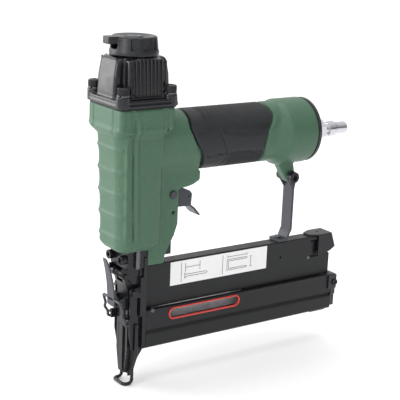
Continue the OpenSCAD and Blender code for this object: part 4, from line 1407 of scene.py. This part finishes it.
@dataclass
class Magazine(Assembly):
    """The fixed rail, the sliding cover with its window, the brads and the pusher."""

    brad_pitch: float = 1.25
    brad_w: float = 1.05
    brad_t: float = 1.2
    cover_half: float = 10.3
    flange: float = 5.7
    peg: Pair = (14.9, 49.6)

    def brads(self) -> None:
        """Build the strip as single brads with chisel points and small heads."""
        span = Span.of("brad_strip")
        x, low, high = span.low.x, span.low.z, span.high.z
        half, wide = self.brad_t / 2, self.brad_w
        point = rounded([(x + 0.1, low + 1.4), (x + wide / 2 + 0.05, low), (x + wide, low + 1.4),
                         (x + wide, high - 1.2), (x + wide, high), (x + 0.1, high),
                         (x + 0.1, high - 1.2)], 0.1, 1)
        brad = Shape().plate(point, -half, half)
        brad.box((x + 0.05, -span.high.y, high - 1), (x + wide + 0.05, span.high.y, high - 0.02))
        count = int((span.high.x - span.low.x) / self.brad_pitch)
        mesh = Trees.row.run(brad, Count=count, Step=(self.brad_pitch * MM, 0.0, 0.0))
        # The brads' near-white colour paints their sheen inside the dark magazine.
        self.add(Shape().mesh_of(mesh).object("brads"), COATED_AND_PAINTED_SHEEN, "brad_strip")

    def cover(self) -> None:
        """Build the sliding cover as a folded channel with a ledge, a window and a locating peg."""
        span = Span.of("sliding_magazine")
        window = Span.of("window_trim")
        low, top, w = span.low.z, span.high.z, self.cover_half
        side = [(w - 0.4, top), (w - 0.4, 35.0), (w - 1.7, 33.9), (w - 1.7, 33.2), (w, 31.7), (w, low + 1.0),
                (w - 1.0, low)]
        outer = [(-y, z) for y, z in side] + list(reversed(side))
        inner = [(self.flange, top + 1), (self.flange, top - 1.4), (w - 1.9, top - 1.4), (w - 1.9, 36.4),
                 (w - 2.7, 34.6), (w - 2.7, low + 1.5)]
        shape = Shape().plate(outer, span.low.x, span.high.x, Axis.X)
        piece = shape.object("sliding_magazine_finished")
        cut(piece, Shape().plate([(-y, z) for y, z in inner] + list(reversed(inner)), span.low.x - 1,
                                 span.high.x + 1, Axis.X))
        r = (window.high.z - window.low.z) / 2
        cut(piece, Shape().plate(slot_outline(window.low.x, window.high.x, window.middle.z, r), -12, 12))
        round_edges(flatten(piece), 0.25, 2)
        self.add(even_shading(piece), RAIL_BLACK, "sliding_magazine")
        peg = Shape().turned([(w - 1.5, 1.5), (w - 0.2, 1.5), (w, 1.2)], Axis.Y, self.peg, 32).both_sides()
        self.add(peg.object("locating_pegs"), ZINC, body=body_of(frame["nodes"]["sliding_magazine"])[0])

    def print_label(self) -> None:
        """Draw plain outlines of a brad and a staple on the label, with their length lines."""
        label = Span.of("magazine_label")
        y = label.low.y + 0.02
        left, low = label.low.x, label.low.z

        def line(*points: Pair) -> bpy.types.Mesh:
            """Return a printed line through points measured from the label's corner."""
            path = path_shape([(left + u, y, low + v) for u, v in points])
            return Trees.wire.run(path, Wire_radius=0.2 * MM, Bend_radius=0.05 * MM, Sides=6)

        lines = [((9.5, 1.5), (9.5, 16.4)),
                 ((12.5, 8.2), (13.6, 6.9), (31.5, 6.9), (32.6, 6.1), (31.5, 5.3), (13.6, 5.3), (12.5, 4.0),
                  (12.5, 8.2)),
                 ((13.0, 9.0), (13.0, 15.6)), ((25.8, 9.0), (25.8, 15.6)), ((13.0, 12.4), (25.8, 12.4)),
                 ((46.5, 1.5), (46.5, 16.4)),
                 ((50.5, 12.4), (68.0, 12.4), (69.2, 11.8), (68.0, 11.2), (51.8, 11.2), (51.8, 5.4),
                  (68.0, 5.4), (69.2, 4.8), (68.0, 4.2), (50.5, 4.2), (50.5, 12.4)),
                 ((51.0, 14.6), (68.8, 14.6)), ((51.0, 13.6), (51.0, 15.6)), ((68.8, 13.6), (68.8, 15.6)),
                 ((72.6, 4.4), (72.6, 12.2)), ((71.6, 4.4), (73.6, 4.4)), ((71.6, 12.2), (73.6, 12.2))]
        shape = Shape()
        for points in lines:
            shape.mesh_of(line(*points))
        self.add(shape.both_sides().object("label_print"), INK, body="root")

    def build(self) -> None:
        """Build the magazine."""
        self.refine("fixed_magazine", RAIL_BLACK, 0.3)
        self.dress(OXIDE, "nail_rails")
        self.cover()
        self.print_label()
        self.refine("window_trim", RED, 0.25, 3)
        self.refine("magazine_label", LABEL, 0.1)
        self.brads()
        self.refine("pusher", ZINC, 0.2)
        self.refine("pusher_rod", BRIGHT, 0.3)
        self.coil("pusher_coil", "pusher_spring", SPRING, Axis.X, 1.9, 0.35, 17.0, "pusher_slide", 52.2)
        self.refine_all(
            ("end_block", PLASTIC, 0.5, 3),
            ("end_block_screw", OXIDE, 0.25),
            ("magazine_foot", SEAL, 0.8, 3),
            ("magazine_catch", OXIDE, 0.35, 3),
            ("catch_pin_rod", ZINC, 0.4, 3))


@dataclass
class Strap(Assembly):
    """The steel strap between the handle's lug and the magazine."""

    def build(self) -> None:
        """Build the strap, its pin and its screw."""
        self.refine_all(
            ("support_strap", SATIN, 0.4, 3),
            ("strap_pin", OXIDE, 0.4, 3),
            ("strap_screw", ZINC, 0.4, 3))


@dataclass
class Studio:
    """The pale floor, the soft lights and the camera.

    Attributes:
        lens: Focal length in millimetres on a 36 mm sensor.
        eye: The camera's place in metres.
        azimuth: Direction that the camera looks in, in degrees.
        elevation: How far it looks down, in degrees.
        roll: How far it leans, in degrees.
        sky_range: Where the sky's light starts and ends along its slope, and its strength there.
    """

    lens: float = 99.2
    eye: Triple = (-0.38621, -0.63639, 0.33299)
    azimuth: float = -34.99
    elevation: float = 15.05
    roll: float = 2.38
    sky_range: tuple[float, float, float, float] = (-0.7, 0.8, 0.1, 1.5)

    def camera(self) -> None:
        """Add the camera."""
        data = bpy.data.cameras.new("camera")
        data.lens, data.sensor_width = self.lens, 36.0
        data.clip_start, data.clip_end = 0.01, 50.0
        made = bpy.data.objects.new("camera", data)
        a, e, r = (math.radians(v) for v in (self.azimuth, self.elevation, self.roll))
        back = Vector((math.sin(a) * math.cos(e), -math.cos(a) * math.cos(e), math.sin(e)))
        right = Vector((math.cos(a), math.sin(a), 0.0))
        up = back.cross(right)
        side = right * math.cos(r) + up * math.sin(r)
        top = up * math.cos(r) - right * math.sin(r)
        turn = np.column_stack((side, top, back))
        made.matrix_world = Matrix([[*turn[i], self.eye[i]] for i in range(3)] + [[0, 0, 0, 1]])
        bpy.context.scene.collection.objects.link(made)
        bpy.context.scene.camera = made

    def floor(self) -> None:
        """Add the pale floor just under the object."""
        low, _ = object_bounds()
        shape = Shape()
        reach = 4000.0
        level = low.z / MM - 0.2
        verts = [shape.bm.verts.new(Vector((x, y, level)) * MM)
                 for x, y in ((-reach, -reach), (reach, -reach), (reach, reach), (-reach, reach))]
        shape.bm.faces.new(verts)
        made = shape.object("floor")
        pale = bpy.data.materials.new("floor_pale")
        pale.use_nodes = True
        shader = pale.node_tree.nodes["Principled BSDF"]
        shader.inputs["Base Color"].default_value = (0.93, 0.93, 0.93, 1)
        shader.inputs["Roughness"].default_value = 0.9
        shader.inputs["Specular IOR Level"].default_value = 0.1
        made.data.materials.append(pale)
        made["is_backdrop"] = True

    def light(self, name: str, place: Triple, size: float, power: float) -> None:
        """Add a soft square light that points at the middle of the tool.

        Args:
            name: The light's name.
            place: Where it hangs, in metres.
            size: Its side in metres.
            power: Its power in watts.
        """
        data = bpy.data.lights.new(name, "AREA")
        data.shape, data.size, data.energy = "SQUARE", size, power
        made = bpy.data.objects.new(name, data)
        made.location = place
        aim = Vector((0.06, 0.0, 0.13)) - Vector(place)
        made.rotation_euler = aim.to_track_quat("-Z", "Y").to_euler()
        bpy.context.scene.collection.objects.link(made)

    def sky(self) -> None:
        """Surround the studio with light that is strong above and behind, and weak towards the camera."""
        world = bpy.data.worlds.new("studio")
        world.use_nodes = True
        nodes, links = world.node_tree.nodes, world.node_tree.links
        place = nodes.new("ShaderNodeTexCoord")
        along = nodes.new("ShaderNodeVectorMath")
        along.operation = "DOT_PRODUCT"
        along.inputs[1].default_value = (-0.6, 0.35, 0.72)
        level = nodes.new("ShaderNodeMapRange")
        for socket, value in zip(("From Min", "From Max", "To Min", "To Max"), self.sky_range):
            level.inputs[socket].default_value = value
        links.new(place.outputs["Generated"], along.inputs[0])
        links.new(along.outputs["Value"], level.inputs["Value"])
        links.new(level.outputs["Result"], nodes["Background"].inputs["Strength"])
        nodes["Background"].inputs["Color"].default_value = (1.0, 1.0, 1.0, 1)
        bpy.context.scene.world = world

    def build(self) -> None:
        """Build the studio."""
        self.camera()
        self.floor()
        self.sky()
        bpy.context.scene.view_settings.view_transform = "Standard"
        self.light("key", (-0.85, -0.15, 0.45), 0.35, 2.0)
        self.light("back", (-0.85, 0.95, 0.4), 0.7, 6.0)
        self.light("top", (0.15, 0.1, 1.1), 0.6, 2.0)


def main() -> None:
    """Build every sub-assembly in order and report its pieces."""
    logging.basicConfig(level=logging.INFO, format="%(name)s: %(message)s")
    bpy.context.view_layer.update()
    Studio().build()
    for part in (Casting(), Grip(), Head(), Cylinder(), AirInlet(), TriggerGroup(), Nose(), SafetyFoot(),
                 Magazine(), Strap()):
        part.build()
        LOG.info("%s: %s", type(part).__name__, ", ".join(part.made))


if __name__ == "__main__":
    main()
